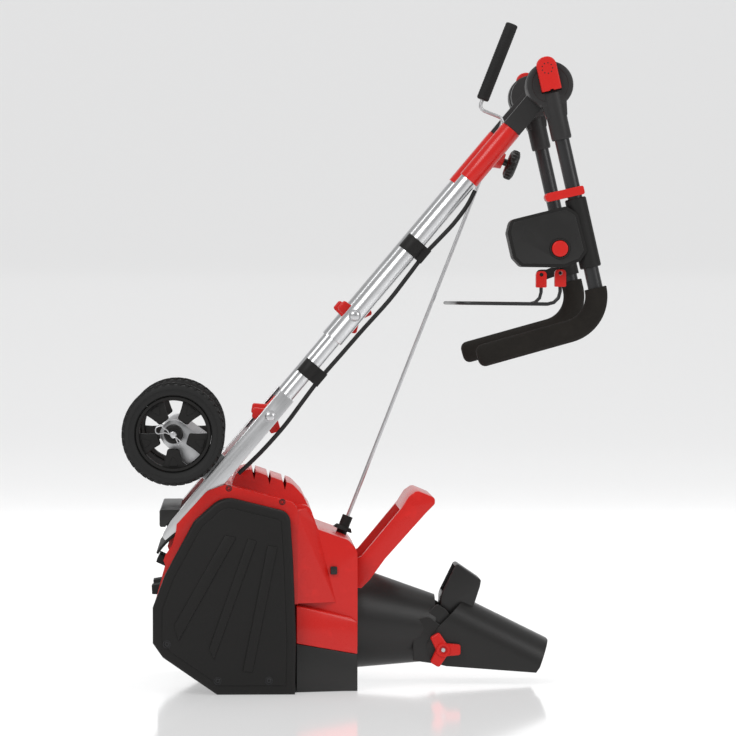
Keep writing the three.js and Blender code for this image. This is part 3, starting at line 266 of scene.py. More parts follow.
def vulcanised(name, colour, roughness, depth=0.12):
    """Rubber with a dusty bloom and small pits."""
    finish = Finish(name)
    pits = finish.noise(520, 4, 0.6)
    dust = finish.mask(finish.noise(22, 5, 0.7), 0.5, 0.8)
    finish.surface(
        base_color=finish.mix(dust * 0.35, colour, shade(colour, 2.6)),
        roughness=dust * 0.12 + roughness,
        specular_ior_level=0.3,
    )
    finish.bump(pits, depth)
    return finish.material


def closed_cell_foam(name, colour):
    """Soft foam sleeve: fine open skin with scattered cells."""
    finish = Finish(name)
    cells = {"Vector": finish.place(), "Scale": 620}
    cell = finish.node("ShaderNodeTexVoronoi", {"feature": "F1"}, cells, "Distance")
    skin = finish.noise(160, 5, 0.7)
    wear = finish.mask(finish.noise(18, 3), 0.45, 0.75)
    height = cell * 0.7 + skin * 0.6
    finish.surface(
        base_color=finish.mix(skin * 0.5 + wear * 0.4, shade(colour, 0.75), shade(colour, 1.7)),
        roughness=wear * 0.06 + 0.9,
        specular_ior_level=0.2,
    )
    finish.bump(height, 0.35, 0.8)
    return finish.material


# ---------------------------------------------------------------- shaping with bmesh operators


def rounded(points, steps=6):
    """An outline through [x, z, corner radius] points, with round corners."""
    outline = []
    for i, point in enumerate(points):
        here = Vector(point[:2])
        radius = point[2] if len(point) > 2 else 0
        if radius == 0:
            outline.append(here)
            continue
        back = (Vector(points[i - 1][:2]) - here).normalized()
        ahead = (Vector(points[(i + 1) % len(points)][:2]) - here).normalized()
        half = back.angle(ahead) / 2
        middle = here + (back + ahead).normalized() * (radius / math.sin(half))
        start = here + back * (radius / math.tan(half)) - middle
        turn = start.angle_signed(here + ahead * (radius / math.tan(half)) - middle)
        outline += [middle + Matrix.Rotation(-turn * k / steps, 2) @ start for k in range(steps + 1)]
    return outline


def moved_in(points, distance):
    """The outline with every side moved inwards by a distance."""
    corners = [Vector(point[:2]) for point in points]
    area = sum(a.x * b.y - b.x * a.y for a, b in zip(corners, corners[1:] + corners[:1]))
    side = math.copysign(distance, area)
    result = []
    for i, corner in enumerate(corners):
        before = (corner - corners[i - 1]).normalized()
        after = (corners[(i + 1) % len(corners)] - corner).normalized()
        normal_a = Vector((-before.y, before.x)) * side
        normal_b = Vector((-after.y, after.x)) * side
        bisector = (normal_a + normal_b) / (1 + normal_a.dot(normal_b) / distance**2)
        radius = points[i][2] if len(points[i]) > 2 else 0
        result.append((*(corner + bisector), max(radius - distance, 0)))
    return result


def sharp_edges(mesh, degrees):
    """The edges whose two faces meet at more than an angle."""
    limit = math.radians(degrees)
    return [e for e in mesh.edges if len(e.link_faces) == 2 and e.calc_face_angle(0) > limit]


def soften(mesh, edges, width, segments=3):
    """Rounds edges, by a width in millimetres."""
    bmesh.ops.bevel(
        mesh, geom=edges, offset=width / 1000, offset_type="OFFSET", segments=segments,
        profile=0.5, affect="EDGES", material=-1, clamp_overlap=True,
    )


def slab(points, low, high, edge=0.0, place=mm, segments=3):
    """A plate between two planes across the machine, with softened edges."""
    mesh = bmesh.new()
    ring = [mesh.verts.new(place(x, z, low)) for x, z in rounded(points)]
    face = mesh.faces.new(ring)
    pushed = bmesh.ops.extrude_face_region(mesh, geom=[face])
    moved = [v for v in pushed["geom"] if isinstance(v, bmesh.types.BMVert)]
    bmesh.ops.translate(mesh, verts=moved, vec=Vector((0, (high - low) / 1000, 0)))
    bmesh.ops.recalc_face_normals(mesh, faces=mesh.faces)
    if edge:
        soften(mesh, sharp_edges(mesh, 40), edge, segments)
    return mesh


def turned(profile, at, axis, steps=48, closed=False):
    """A shape spun from [radius, height] points in millimetres about an axis through a point."""
    mesh = bmesh.new()
    verts = [mesh.verts.new((radius / 1000, 0, height / 1000)) for radius, height in profile]
    pairs = zip(verts, verts[1:] + (verts[:1] if closed else []))
    edges = [mesh.edges.new(pair) for pair in pairs]
    bmesh.ops.spin(
        mesh, geom=verts + edges, cent=(0, 0, 0), axis=(0, 0, 1), angle=math.tau, steps=steps, use_merge=True,
    )
    bmesh.ops.remove_doubles(mesh, verts=mesh.verts, dist=1e-6)
    bmesh.ops.recalc_face_normals(mesh, faces=mesh.faces)
    turn = Vector((0, 0, 1)).rotation_difference(Vector(axis)).to_matrix().to_4x4()
    bmesh.ops.transform(mesh, matrix=Matrix.Translation(at) @ turn, verts=mesh.verts)
    return mesh


def bend_path(corners, bends, steps=10):
    """Straight runs joined by round bends of given radii in millimetres."""
    path = [corners[0]]
    for i in range(1, len(corners) - 1):
        back = (corners[i - 1] - corners[i]).normalized()
        ahead = (corners[i + 1] - corners[i]).normalized()
        half = back.angle(ahead) / 2
        radius = bends[i - 1] / 1000
        middle = corners[i] + (back + ahead).normalized() * (radius / math.sin(half))
        start = corners[i] + back * (radius / math.tan(half)) - middle
        axis = (-back).cross(ahead).normalized()
        for k in range(steps + 1):
            turn = Matrix.Rotation((math.pi - 2 * half) * k / steps, 3, axis)
            path.append(middle + turn @ start)
    return path + [corners[-1]]


def sweep(path, radii, sides=20):
    """A round bar along a path; radii is one value or one for each point, in millimetres."""
    if not isinstance(radii, (list, tuple)):
        radii = [radii] * len(path)
    mesh = bmesh.new()
    ways = []
    for i, _ in enumerate(path):
        before = (path[i] - path[max(i - 1, 0)]).normalized()
        after = (path[min(i + 1, len(path) - 1)] - path[i]).normalized()
        ways.append((before + after).normalized())
    turn = Vector((0, 0, 1)).rotation_difference(ways[0]).to_matrix()
    ring = bmesh.ops.create_circle(mesh, cap_ends=False, radius=radii[0] / 1000, segments=sides)["verts"]
    bmesh.ops.transform(mesh, matrix=Matrix.Translation(path[0]) @ turn.to_4x4(), verts=ring)
    edges = list(mesh.edges)
    bmesh.ops.contextual_create(mesh, geom=edges)
    for i in range(1, len(path)):
        pushed = bmesh.ops.extrude_edge_only(mesh, edges=edges)["geom"]
        ring = [v for v in pushed if isinstance(v, bmesh.types.BMVert)]
        edges = [e for e in pushed if isinstance(e, bmesh.types.BMEdge)]
        swing = ways[i - 1].rotation_difference(ways[i]).to_matrix().to_4x4()
        grow = Matrix.Scale(radii[i] / radii[i - 1], 4)
        matrix = Matrix.Translation(path[i]) @ swing @ grow @ Matrix.Translation(-path[i - 1])
        bmesh.ops.transform(mesh, matrix=matrix, verts=ring)
    bmesh.ops.contextual_create(mesh, geom=edges)
    bmesh.ops.recalc_face_normals(mesh, faces=mesh.faces)
    return mesh


def joined(*meshes):
    """One mesh holding the shells of several."""
    first = meshes[0]
    for other in meshes[1:]:
        spare = bpy.data.meshes.new("spare")
        other.to_mesh(spare)
        first.from_mesh(spare)
        other.free()
        bpy.data.meshes.remove(spare)
    return first


def cad_copy(node, edge=1.2, segments=2, degrees=28):
    """A CAD node's shape with its flat faces made whole and its edges softened."""
    mesh = bmesh.new()
    mesh.from_mesh(frame["nodes"][node].data)
    bmesh.ops.remove_doubles(mesh, verts=mesh.verts, dist=2e-5)
    bmesh.ops.dissolve_limit(mesh, angle_limit=math.radians(1.5), verts=mesh.verts, edges=mesh.edges)
    if edge:
        soften(mesh, sharp_edges(mesh, degrees), edge, segments)
    return mesh


def piece(name, mesh, look, body, nodes=(), crease=32):
    """Turns a bmesh into a finished piece that rides on a body and stands for CAD nodes."""
    for face in mesh.faces:
        face.smooth = True
    for edge in sharp_edges(mesh, crease):
        edge.smooth = False
    data = bpy.data.meshes.new(name)
    mesh.to_mesh(data)
    mesh.free()
    made = bpy.data.objects.new(name, data)
    bpy.context.scene.collection.objects.link(made)
    data.materials.append(finish(look))
    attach(made, body)
    if nodes:
        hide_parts(*nodes)
    return made


def softened(name, node, edge, look, body="machine", segments=3, crease=40):
    """A piece with a CAD node's own shape, its edges softened."""
    return piece(name, cad_copy(node, edge, segments), look, body, (node,), crease=crease)


def mirrored(side, low, high):
    """Two planes across the machine, for the near side (-1) or the far side (1)."""
    return (low, high) if side > 0 else (-high, -low)


# ---------------------------------------------------------------- settings a user would change


def colour_setting(name, description, default):
    """A colour that a user can change."""
    return bpy.props.FloatVectorProperty(
        name=name, description=description, default=default, subtype="COLOR", size=3, min=0, max=1,
    )


class FinishSettings(bpy.types.PropertyGroup):
    """Colours of the machine's finishes."""

    casing: colour_setting("Casing", "Colour of the casing plastic", (0.62, 0.013, 0.009))
    trim: colour_setting("Trim", "Colour of the dark plastic covers", (0.0085, 0.008, 0.0075))
    hinges: colour_setting("Hinges", "Colour of the hinge castings", (0.026, 0.025, 0.025))
    tubes: colour_setting("Tubes", "Colour of the plated tubes", (0.7, 0.705, 0.715))
    foam: colour_setting("Foam", "Colour of the grip sleeves", (0.016, 0.014, 0.012))


class StageSettings(bpy.types.PropertyGroup):
    """Light and background."""

    key_power: bpy.props.FloatProperty(
        name="Key light", description="Power of the main soft light", default=85.0, min=0, unit="POWER",
    )
    fill_power: bpy.props.FloatProperty(
        name="Fill light", description="Power of the fill lights", default=38.0, min=0, unit="POWER",
    )
    glow: bpy.props.FloatProperty(
        name="Backdrop glow", description="How strongly the backdrop is lit from behind",
        default=0.4, min=0,
    )
    backdrop: colour_setting("Backdrop", "Colour of the floor and wall", (0.6, 0.602, 0.605))


# ---------------------------------------------------------------- finishes

FINISHES = {}


def finish(name):
    """A finish by name, made the first time it is asked for."""
    if name not in FINISHES:
        colours = bpy.context.scene.snow_blower_finishes
        casing = tuple(colours.casing)
        trim = tuple(colours.trim)
        makers = {
            "red_plastic": lambda: moulded("red_plastic", casing, 0.3, 900, 0.02, 0.05, 0.25),
            "red_grained": lambda: moulded("red_grained", casing, 0.42, 1500, 0.06, 0.06, 0.1),
            "black_plastic": lambda: moulded("black_plastic", trim, 0.38, 1300, 0.06, 0.15, shine=0.5),
            "black_textured": lambda: moulded("black_textured", trim, 0.55, 780, 0.2, 0.15),
            "grey_plastic": lambda: moulded("grey_plastic", tuple(colours.hinges), 0.44, 1400, 0.08, 0.14),
            "frame_steel": lambda: drawn_steel("frame_steel", tuple(colours.tubes), 0.3, frame_turn()),
            "zinc_steel": lambda: drawn_steel("zinc_steel", (0.62, 0.62, 0.63), 0.34, crank_turn(), 0.15),
            "plated_bolt": lambda: drawn_steel("plated_bolt", (0.66, 0.66, 0.67), 0.28, (0, 0, 0), 0.5),
            "black_steel": lambda: powder_coat("black_steel", (0.02, 0.02, 0.021), 0.34),
            "black_screw": lambda: powder_coat("black_screw", (0.014, 0.014, 0.015), 0.4),
            "rubber": lambda: vulcanised("rubber", (0.013, 0.013, 0.0128), 0.66),
            "cable_jacket": lambda: vulcanised("cable_jacket", (0.012, 0.012, 0.012), 0.5, 0.05),
            "grip_foam": lambda: closed_cell_foam("grip_foam", tuple(colours.foam)),
        }
        FINISHES[name] = makers[name]()
    return FINISHES[name]


def frame_turn():
    """Turns object coordinates so that the frame's tubes lie along X."""
    return (0, math.atan2(FRAME_ALONG.z, FRAME_ALONG.x), 0)


def crank_turn():
    """Turns object coordinates so that the crank rod lies along X."""
    return (0, math.atan2(CRANK_ALONG.z, CRANK_ALONG.x), 0)


NODE_FINISH = {
    "black_plastic": ("motor_pulley", "auger_pulley"),
    "zinc_steel": ("auger_shaft", "auger_bearing_left", "auger_bearing_right"),
    "black_steel": ("motor",),
    "rubber": ("drive_belt",),
}


def dress_nodes():
    """Gives the CAD nodes that stay visible their finishes."""
    for look, nodes in NODE_FINISH.items():
        for node in nodes:
            materials = frame["nodes"][node].data.materials
            materials.clear()
            materials.append(finish(look))


# ---------------------------------------------------------------- covers over the body

COVER = (
    (-29, 0), (96, 0), (98, 86), (93, 217), (88, 292, 20), (-20, 319, 40),
    (-66, 278, 20), (-112, 193), (-132, 140), (-132, 83), (-116, 60, 12),
)
COVER_INNER = 178.4
COVER_FACE = 206.0
PANEL_INSET = 15
RIBS = (
    ((-16, 257), (2, 253), (-91, 86), (-98, 112)),
    ((21, 252), (35, 247), (-34, 56), (-42, 75)),
    ((52, 240), (68, 238), (28, 36), (12, 38)),
)
COVER_SCREWS = ((-109, 82), (-28, 23), (54, 23))
WALL = 3


def hollow_from(mesh, away, wall):
    """Opens a closed shape on the side that faces away, and gives it a wall."""
    lids = [face for face in mesh.faces if face.normal.dot(away) > 0.95]
    deepest = max(face.calc_center_median().dot(away) for face in lids)
    lids = [face for face in lids if face.calc_center_median().dot(away) > deepest - 1e-5]
    bmesh.ops.delete(mesh, geom=lids, context="FACES")
    bmesh.ops.solidify(mesh, geom=list(mesh.faces), thickness=wall / 1000)
    return mesh


def screw(x, z, y, side, head=4.6):
    """A sunken socket screw in a shallow ring, facing out of a side."""
    profile = [(0, -1.2), (1.7, -1.2), (1.9, 0.5), (head - 1, 0.5), (head, -0.3), (head, -1),
               (head + 0.5, -1), (head + 0.7, 0.4), (head + 1.6, 0.4), (head + 2.2, -0.3), (0, -2)]
    return turned(profile, mm(x, z, y), (0, side, 0), 28)


def build_side_covers():
    """Both side covers, each a deep lid with a raised panel, three ribs and three screws."""
    for node, name, side in (("belt_cover", "cover_near", -1), ("side_cover", "cover_far", 1)):
        out = Vector((0, side, 0))
        shell = slab(COVER, *mirrored(side, COVER_INNER, COVER_FACE))
        rim = [e for e in sharp_edges(shell, 40) if all((v.co - DATUM).y * side > 0.2055 for v in e.verts)]
        soften(shell, rim, 6, 5)
        hollow_from(shell, -out, WALL)
        panel = slab(moved_in(COVER, PANEL_INSET), *mirrored(side, COVER_FACE - 1, COVER_FACE + 2), edge=1.6)
        ribs = [slab(rib, *mirrored(side, COVER_FACE + 0.5, COVER_FACE + 4), edge=1.7) for rib in RIBS]
        piece(name, joined(shell, panel, *ribs), "black_textured", "machine", (node,), crease=50)
        heads = [screw(x, z, side * (COVER_FACE + 2), side) for x, z in COVER_SCREWS]
        piece(f"{name}_screws", joined(*heads), "black_screw", "machine")


FLANK_POINTS = ((99, 144, 177), (99, 292, 177), (163, 144, 150.5), (131, 270, 150.5), (116, 297, 150.5),
                (99, 144, 149), (99, 298, 149), (163, 144, 149), (131, 270, 149), (116, 297, 149))
COLLAR_POINTS = ((98.5, 79.5, 176.5), (98.5, 140, 176.5),
                 (197.6, 60, 153), (197.6, 112, 153), (188, 120, 153),
                 (98.5, 79.5, 149), (98.5, 141, 149), (197.6, 60, 149), (197.6, 112, 149), (188, 120, 149))
LIP_POINTS = ((98.5, 0.6, 176), (98.5, 79, 176), (197.7, 0.6, 151), (197.7, 59.5, 151),
              (98.5, 0.6, 148.5), (98.5, 79, 148.5), (197.7, 0.6, 148.5), (197.7, 59.5, 148.5))
TOP_SCREWS = ((-10, 330), (76, 308))
CATCH = ((154, 189, 2), (165, 189, 2), (165, 202, 2), (154, 202, 2))
CATCH_PLANES = (-155, -149)


def hull(points):
    """The closed skin round some points."""
    mesh = bmesh.new()
    for point in points:
        mesh.verts.new(point)
    made = bmesh.ops.convex_hull(mesh, input=mesh.verts)
    loose = [item for item in made["geom_interior"] if isinstance(item, bmesh.types.BMVert)]
    bmesh.ops.delete(mesh, geom=loose, context="VERTS")
    bmesh.ops.dissolve_limit(mesh, angle_limit=0.02, verts=mesh.verts, edges=mesh.edges)
    bmesh.ops.recalc_face_normals(mesh, faces=mesh.faces)
    return mesh


def build_top_cover():
    """The red cover with its tower flanks, collar and screws."""
    softened("top_cover_skin", "top_cover", 2.2, "red_plastic")
    for name, side in SIDES:
        flank = hull([mm(x, z, side * y) for x, z, y in FLANK_POINTS])
        soften(flank, sharp_edges(flank, 15), 5, 4)
        piece(f"tower_flank_{name}", flank, "red_plastic", "machine", crease=50)
        collar = hull([mm(x, z, side * y) for x, z, y in COLLAR_POINTS])
        soften(collar, sharp_edges(collar, 15), 1.8, 3)
        piece(f"tower_collar_{name}", collar, "red_plastic", "machine", crease=50)
        heads = [screw(x, z, side * 178.2, side, 3) for x, z in TOP_SCREWS]
        piece(f"top_screws_{name}", joined(*heads), "black_screw", "machine")
    piece("tower_catch", slab(CATCH, *CATCH_PLANES, edge=1.2), "black_plastic", "machine")


def build_housing():
    """The black auger housing with its flared lip, and the scraper along its mouth."""
    for name, side in SIDES:
        lip = hull([mm(x, z, side * y) for x, z, y in LIP_POINTS])
        soften(lip, sharp_edges(lip, 15), 1.5, 3)
        piece(f"lip_flank_{name}", lip, "black_plastic", "machine", crease=50)
    softened("housing_skin", "auger_housing", 1.2, "black_plastic", segments=2, crease=32)
    softened("scraper_skin", "scraper_bar", 0.6, "black_textured", segments=2, crease=32)


# ---------------------------------------------------------------- wheels

SPOKE_TURNS = tuple(-90 + 72 * k for k in range(5))
SPOKE = ((12, 9), (24, 9.5), (31, 10.8), (40, 13.5), (50, 17.5), (57, 21))
TYRE = ((61.4, -13), (63, -15.5), (70, -16.5), (72, -18.4), (76, -18.4), (79, -16.6), (80.6, -12),
        (80.6, 12), (79, 16.6), (76, 18.4), (72, 18.4), (70, 16.5), (63, 15.5), (61.4, 13))
RIM = ((54, -11), (55.5, -13.5), (59.6, -13.5), (61, -12), (61, 12), (59.6, 13.5), (55.5, 13.5), (54, 11),
       (55.5, 4), (55.5, -4))
HUB = ((5.6, -19), (9, -19), (10, -18), (10, -15), (14, -14), (15.5, -9), (15.5, 9), (14, 14),
       (10, 15), (10, 18), (9, 19), (5.6, 19))
TREAD_BLOCKS = 40
CLIP = (
    (9, -17), (3, -3), (-13, 3), (-27, 0), (-29, 11), (-19, 14), (-9, 6), (-1, -6), (4, -4), (15, -13),
)


def tread(at):
    """Two staggered rows of blocks round the tyre's shoulders."""
    mesh = bmesh.new()
    for k in range(2 * TREAD_BLOCKS):
        row = 1 if k % 2 else -1
        turn = Matrix.Rotation(math.pi * k / TREAD_BLOCKS, 4, "Y")
        place = Matrix.Translation((0.0806, row * 0.0095, 0)) @ Matrix.Rotation(row * 0.45, 4, "X")
        size = Matrix.Diagonal((0.0042, 0.0150, 0.0058, 1))
        bmesh.ops.create_cube(mesh, size=1, matrix=Matrix.Translation(at) @ turn @ place @ size)
    return mesh


def spoke(turn, at, side):
    """One broad spoke that flares into the rim, with a raised arrow near its end."""
    direction = Matrix.Rotation(math.radians(turn), 2)

    def placed(x, z, y):
        way = direction @ Vector((x, z))
        return at + Vector((way.x, y, way.y)) / 1000

    outline = [(r, -w, 4) for r, w in SPOKE[1:-1]] + [(SPOKE[-1][0], -SPOKE[-1][1])]
    outline += [(r, w, 0 if r == SPOKE[-1][0] else 4) for r, w in reversed(SPOKE[1:])]
    blade = slab(outline, -7, 7, edge=2.2, place=placed)
    arrow = [(35, 0, 2), (52, -9, 2.5), (52, 9, 2.5)]
    low, high = mirrored(side, 6, 8.2)
    return joined(blade, slab(arrow, low, high, edge=0.9, place=placed))


def wheel_clip(at, side):
    """The spring clip through the axle end: a straight leg, a loop and a kinked leg."""
    path = bend_path([at + Vector((x, 0, z)) / 1000 for x, z in CLIP], [4, 5, 5, 5, 5, 4, 3, 3], 5)
    lift = len(path) - 1
    path = [point + Vector((0, side * 0.0024 * i / lift, 0)) for i, point in enumerate(path)]
    return sweep(path, 1.1, 10)


def build_wheels():
    """Both wheels with blocked tyres, five-spoked rims and axle clips."""
    for name, side in SIDES:
        at = joint_at(f"wheel_spin_{name}")
        body = f"wheel_{name}"
        across = Vector((0, 1, 0))
        tyre = joined(turned(TYRE, at, across, 96, closed=True), tread(at))
        piece(f"tyre_{name}_rubber", tyre, "rubber", body, (f"tyre_{name}",), crease=40)
        parts = [turned(RIM, at, across, 96, closed=True), turned(HUB, at, across, 48, closed=True)]
        parts += [spoke(turn, at, side) for turn in SPOKE_TURNS]
        rim = (f"wheel_rim_{name}",)
        piece(f"rim_{name}_moulding", joined(*parts), "black_textured", body, rim, crease=45)
        end = at + Vector((0, side * 0.0225, 0))
        piece(f"wheel_clip_{name}", wheel_clip(end, side), "plated_bolt", "machine")
    softened("axle_bar", "wheel_axle", 0.8, "zinc_steel", segments=2, crease=32)


# ---------------------------------------------------------------- clamping knobs

LOBE_REACH = 28.5
LOBE_HALF = 8.5
LOBE_CORNER = 4
LOBE_VALLEY = 12
VALLEY_CORNER = 5


def star_outline(first):
    """A three-lobed outline with hollow flanks, its first lobe at an angle."""
    points = []
    for k in range(3):
        turn = Matrix.Rotation(math.radians(first + 120 * k), 2)
        for across in (-LOBE_HALF, LOBE_HALF):
            corner = turn @ Vector((LOBE_REACH, across))
            points.append((corner.x, corner.y, LOBE_CORNER))
        valley = Matrix.Rotation(math.radians(first + 60 + 120 * k), 2) @ Vector((LOBE_VALLEY, 0))
        points.append((valley.x, valley.y, VALLEY_CORNER))
    return points


def star_knob(at, side, first, thickness=15):
    """A clamping knob with its back face at a point, facing out of a side, and its bolt."""
    def placed(x, z, y):
        return at + Vector((x, y, z)) / 1000

    body = slab(star_outline(first), *mirrored(side, 0.2, thickness), edge=2.6, place=placed)
    boss = turned([(0, 0), (12.5, 0), (12.5, thickness - 1), (11, thickness + 2.6), (8, thickness + 3),
                   (6.8, thickness + 2.4), (6.5, thickness - 4), (0, thickness - 4)], at, (0, side, 0), 40)
    bolt = turned([(0, thickness - 4.5), (4, thickness - 4.5), (4, thickness + 0.6), (3.2, thickness + 1.4),
                   (0, thickness + 1.4)], at, (0, side, 0), 24)
    return joined(body, boss), bolt


# ---------------------------------------------------------------- chute, deflector and carry handle

CHUTE_AXIS_Z = 108
CHUTE_START = 198.4
CHUTE_NECK = 178
CHUTE_RADIUS = 84
CHUTE_END = 330
MOUTH_Z = 90
MOUTH_RADIUS = 55
PIVOT = (341, 59)
EAR = ((292, 108), (292, 40), (341, 33, 10), (367, 43, 14), (361, 83, 16), (318, 112, 8))
EAR_PLANES = (55.5, 59.5)
GUARD = ((300, 100), (300, 62), (348, 62), (357, 110, 8), (346, 124, 8), (332, 133, 6))
GUARD_PLANES = (47, 51)
HOOD_HALF = 62.9
HOOD_WALL = 3
HOOD_SIDE = ((314, 67), (321, 33), (347, 31), (461, 5), (473, 4), (490, 13), (501, 28), (517, 71),
             (394, 132), (372, 134), (337, 99))
HOOD_TOP = (394, 132)
HOOD_FRONT = (517, 71)
FLAP = (
    (365, 199, 5), (406, 171, 5), (404, 160, 6), (393, 126),
    (380, 118), (352, 112), (338, 118, 6), (339, 146, 30),
)
FLAP_HALF = 38


def lofted(rings, sides=72):
    """A closed wall through round rings across X, given as [x, z, radius]."""
    mesh = bmesh.new()
    x, z, radius = rings[0]
    turn = Matrix.Rotation(math.pi / 2, 4, "Y")
    place = Matrix.Translation(mm(x, z)) @ turn
    bmesh.ops.create_circle(mesh, radius=radius / 1000, segments=sides, matrix=place)
    first = list(mesh.edges)
    edges = first
    for before, here in zip(rings, rings[1:]):
        pushed = bmesh.ops.extrude_edge_only(mesh, edges=edges)["geom"]
        ring = [v for v in pushed if isinstance(v, bmesh.types.BMVert)]
        edges = [e for e in pushed if isinstance(e, bmesh.types.BMEdge)]
        grow = Matrix.Scale(here[2] / before[2], 4)
        matrix = Matrix.Translation(mm(*here[:2])) @ grow @ Matrix.Translation(-mm(*before[:2]))
        bmesh.ops.transform(mesh, matrix=matrix, verts=ring)
    bmesh.ops.bridge_loops(mesh, edges=first + edges)
    bmesh.ops.recalc_face_normals(mesh, faces=mesh.faces)
    return mesh


def chute_wall():
    """The turning chute: a flanged neck that leans down to a narrower mouth."""
    lean = [(CHUTE_NECK + 8, CHUTE_AXIS_Z, 96), (CHUTE_NECK + 8.2, CHUTE_AXIS_Z, 84.4)]
    outer = [(CHUTE_NECK, CHUTE_AXIS_Z, 96), *lean, (CHUTE_START, CHUTE_AXIS_Z, CHUTE_RADIUS)]
    for k in range(1, 9):
        part = k / 8
        outer.append((
            CHUTE_START + (CHUTE_END - CHUTE_START) * part,
            CHUTE_AXIS_Z + (MOUTH_Z - CHUTE_AXIS_Z) * part,
            CHUTE_RADIUS + (MOUTH_RADIUS - CHUTE_RADIUS) * part,
        ))
    inner = [(x, z, radius - 3) for x, z, radius in reversed(outer[3:])]
    return outer + inner + [(CHUTE_NECK, CHUTE_AXIS_Z, 81)]


def hood():
    """The deflector's arched hood, trimmed to its side outline."""
    top = Vector((HOOD_TOP[0], 0, HOOD_TOP[1]))
    along = Vector((HOOD_FRONT[0] - HOOD_TOP[0], 0, HOOD_FRONT[1] - HOOD_TOP[1])).normalized()
    up = Vector((-along.z, 0, along.x))
    start = top - along * 110
    section = rounded([(-HOOD_HALF, -240), (HOOD_HALF, -240), (HOOD_HALF, 0, 46), (-HOOD_HALF, 0, 46)], 12)
    mesh = bmesh.new()
    ring = []
    for across, height in section:
        point = start + up * height
        ring.append(mesh.verts.new(mm(point.x, point.z, across)))
    edges = [mesh.edges.new((a, b)) for a, b in zip(ring[1:], ring[2:] + ring[:1])]
    pushed = bmesh.ops.extrude_edge_only(mesh, edges=edges)["geom"]
    moved = [v for v in pushed if isinstance(v, bmesh.types.BMVert)]
    bmesh.ops.translate(mesh, verts=moved, vec=along * 0.3)
    corners = [Vector(corner) for corner in HOOD_SIDE]
    middle = sum(corners, Vector((0, 0))) / len(corners)
    for a, b in zip(corners, corners[1:] + corners[:1]):
        normal = Vector((b.y - a.y, a.x - b.x)).normalized()
        if normal.dot(middle - a) > 0:
            normal = -normal
        if abs(normal.dot(Vector((up.x, up.z)))) > 0.999 and normal.y > 0:
            continue
        whole = list(mesh.verts) + list(mesh.edges) + list(mesh.faces)
        bmesh.ops.bisect_plane(
            mesh, geom=whole, dist=1e-7, plane_co=mm(*a), plane_no=(normal.x, 0, normal.y), clear_outer=True,
        )
    bmesh.ops.recalc_face_normals(mesh, faces=mesh.faces)
    outward = sum(face.normal.dot(face.calc_center_median() - mm(*middle)) for face in mesh.faces)
    if outward < 0:
        bmesh.ops.reverse_faces(mesh, faces=mesh.faces)
    bmesh.ops.solidify(mesh, geom=list(mesh.faces), thickness=HOOD_WALL / 1000)
    return mesh


def build_chute():
    """The turning chute, the deflector with its grip, and the two clamping knobs."""
    ears = [slab(EAR, *mirrored(side, *EAR_PLANES), edge=1.2) for _, side in SIDES]
    ears += [slab(GUARD, *mirrored(side, *GUARD_PLANES), edge=1) for _, side in SIDES]
    wall = joined(lofted(chute_wall()), *ears)
    piece("chute_wall", wall, "black_plastic", "chute", ("chute_base",), crease=35)
    flap = slab(FLAP, -FLAP_HALF, FLAP_HALF, edge=2.4)
    hollow_from(flap, Vector((-0.898, 0, 0.44)), HOOD_WALL)
    whole = joined(hood(), flap)
    piece("deflector_hood", whole, "black_plastic", "deflector", ("chute_deflector",), crease=35)
    for name, side in SIDES:
        at = mm(PIVOT[0], PIVOT[1], side * (HOOD_HALF + 0.4))
        knob, bolt = star_knob(at, side, 0)
        body = f"chute_knob_{name}"
        piece(f"chute_star_{name}", knob, "red_grained", body, (body,), crease=40)
        piece(f"chute_bolt_{name}", bolt, "plated_bolt", body)


def build_carry_handle():
    """The red lifting handle over the chute."""
    softened("lifting_handle", "carry_handle", 2.4, "red_plastic")


# ---------------------------------------------------------------- frame

UPPER_SPAN = (535, 96)
UPPER_RADIUS = 14.5
MIDDLE_SPAN = (740, 470)
MIDDLE_RADIUS = 11.5
TUBE_WALL = 1.6
CHANNEL_BOLT = 696
CHANNEL_SEAT = 15
TUBE_BOLT = 484
TUBE_SEAT = 14.3
BOLT_RADIUS = 8
BOLT_DOME = 0.42
KNOB_PLACES = (("upper", 14.9, 20), ("lower", 15.4, 50))
CABLE_SEAT = 19
CABLE_ROUTE = (
    (204, 0), (232, 6), (268, 8), (304, 6), (338, 4), (380, 6), (430, 8), (490, 6),
    (545, 5), (598, 4), (640, 6), (690, 9), (740, 8), (775, 5), (800, 2),
)
CABLE_RADIUS = 3.5


def carved(mesh, *tools):
    """The shape with other closed shapes taken out of it."""
    made = []
    for source in (mesh, *tools):
        data = bpy.data.meshes.new("spare")
        source.to_mesh(data)
        source.free()
        spare = bpy.data.objects.new("spare", data)
        bpy.context.scene.collection.objects.link(spare)
        made.append(spare)
    for tool in made[1:]:
        cutter = made[0].modifiers.new("cut", "BOOLEAN")
        cutter.operation = "DIFFERENCE"
        cutter.solver = "EXACT"
        cutter.object = tool
    depsgraph = bpy.context.evaluated_depsgraph_get()
    result = bmesh.new()
    result.from_object(made[0], depsgraph)
    for spare in made:
        data = spare.data
        bpy.data.objects.remove(spare)
        bpy.data.meshes.remove(data)
    return result


def hollow_tube(start, end, radius, wall=TUBE_WALL, sides=48):
    """A straight tube with lightly rounded rims."""
    length = (end - start).length * 1000
    inner = radius - wall
    profile = [(inner, 0), (radius - 0.4, 0), (radius, 0.4),
               (radius, length - 0.4), (radius - 0.4, length), (inner, length)]
    return turned(profile, start, (end - start).normalized(), sides, closed=True)


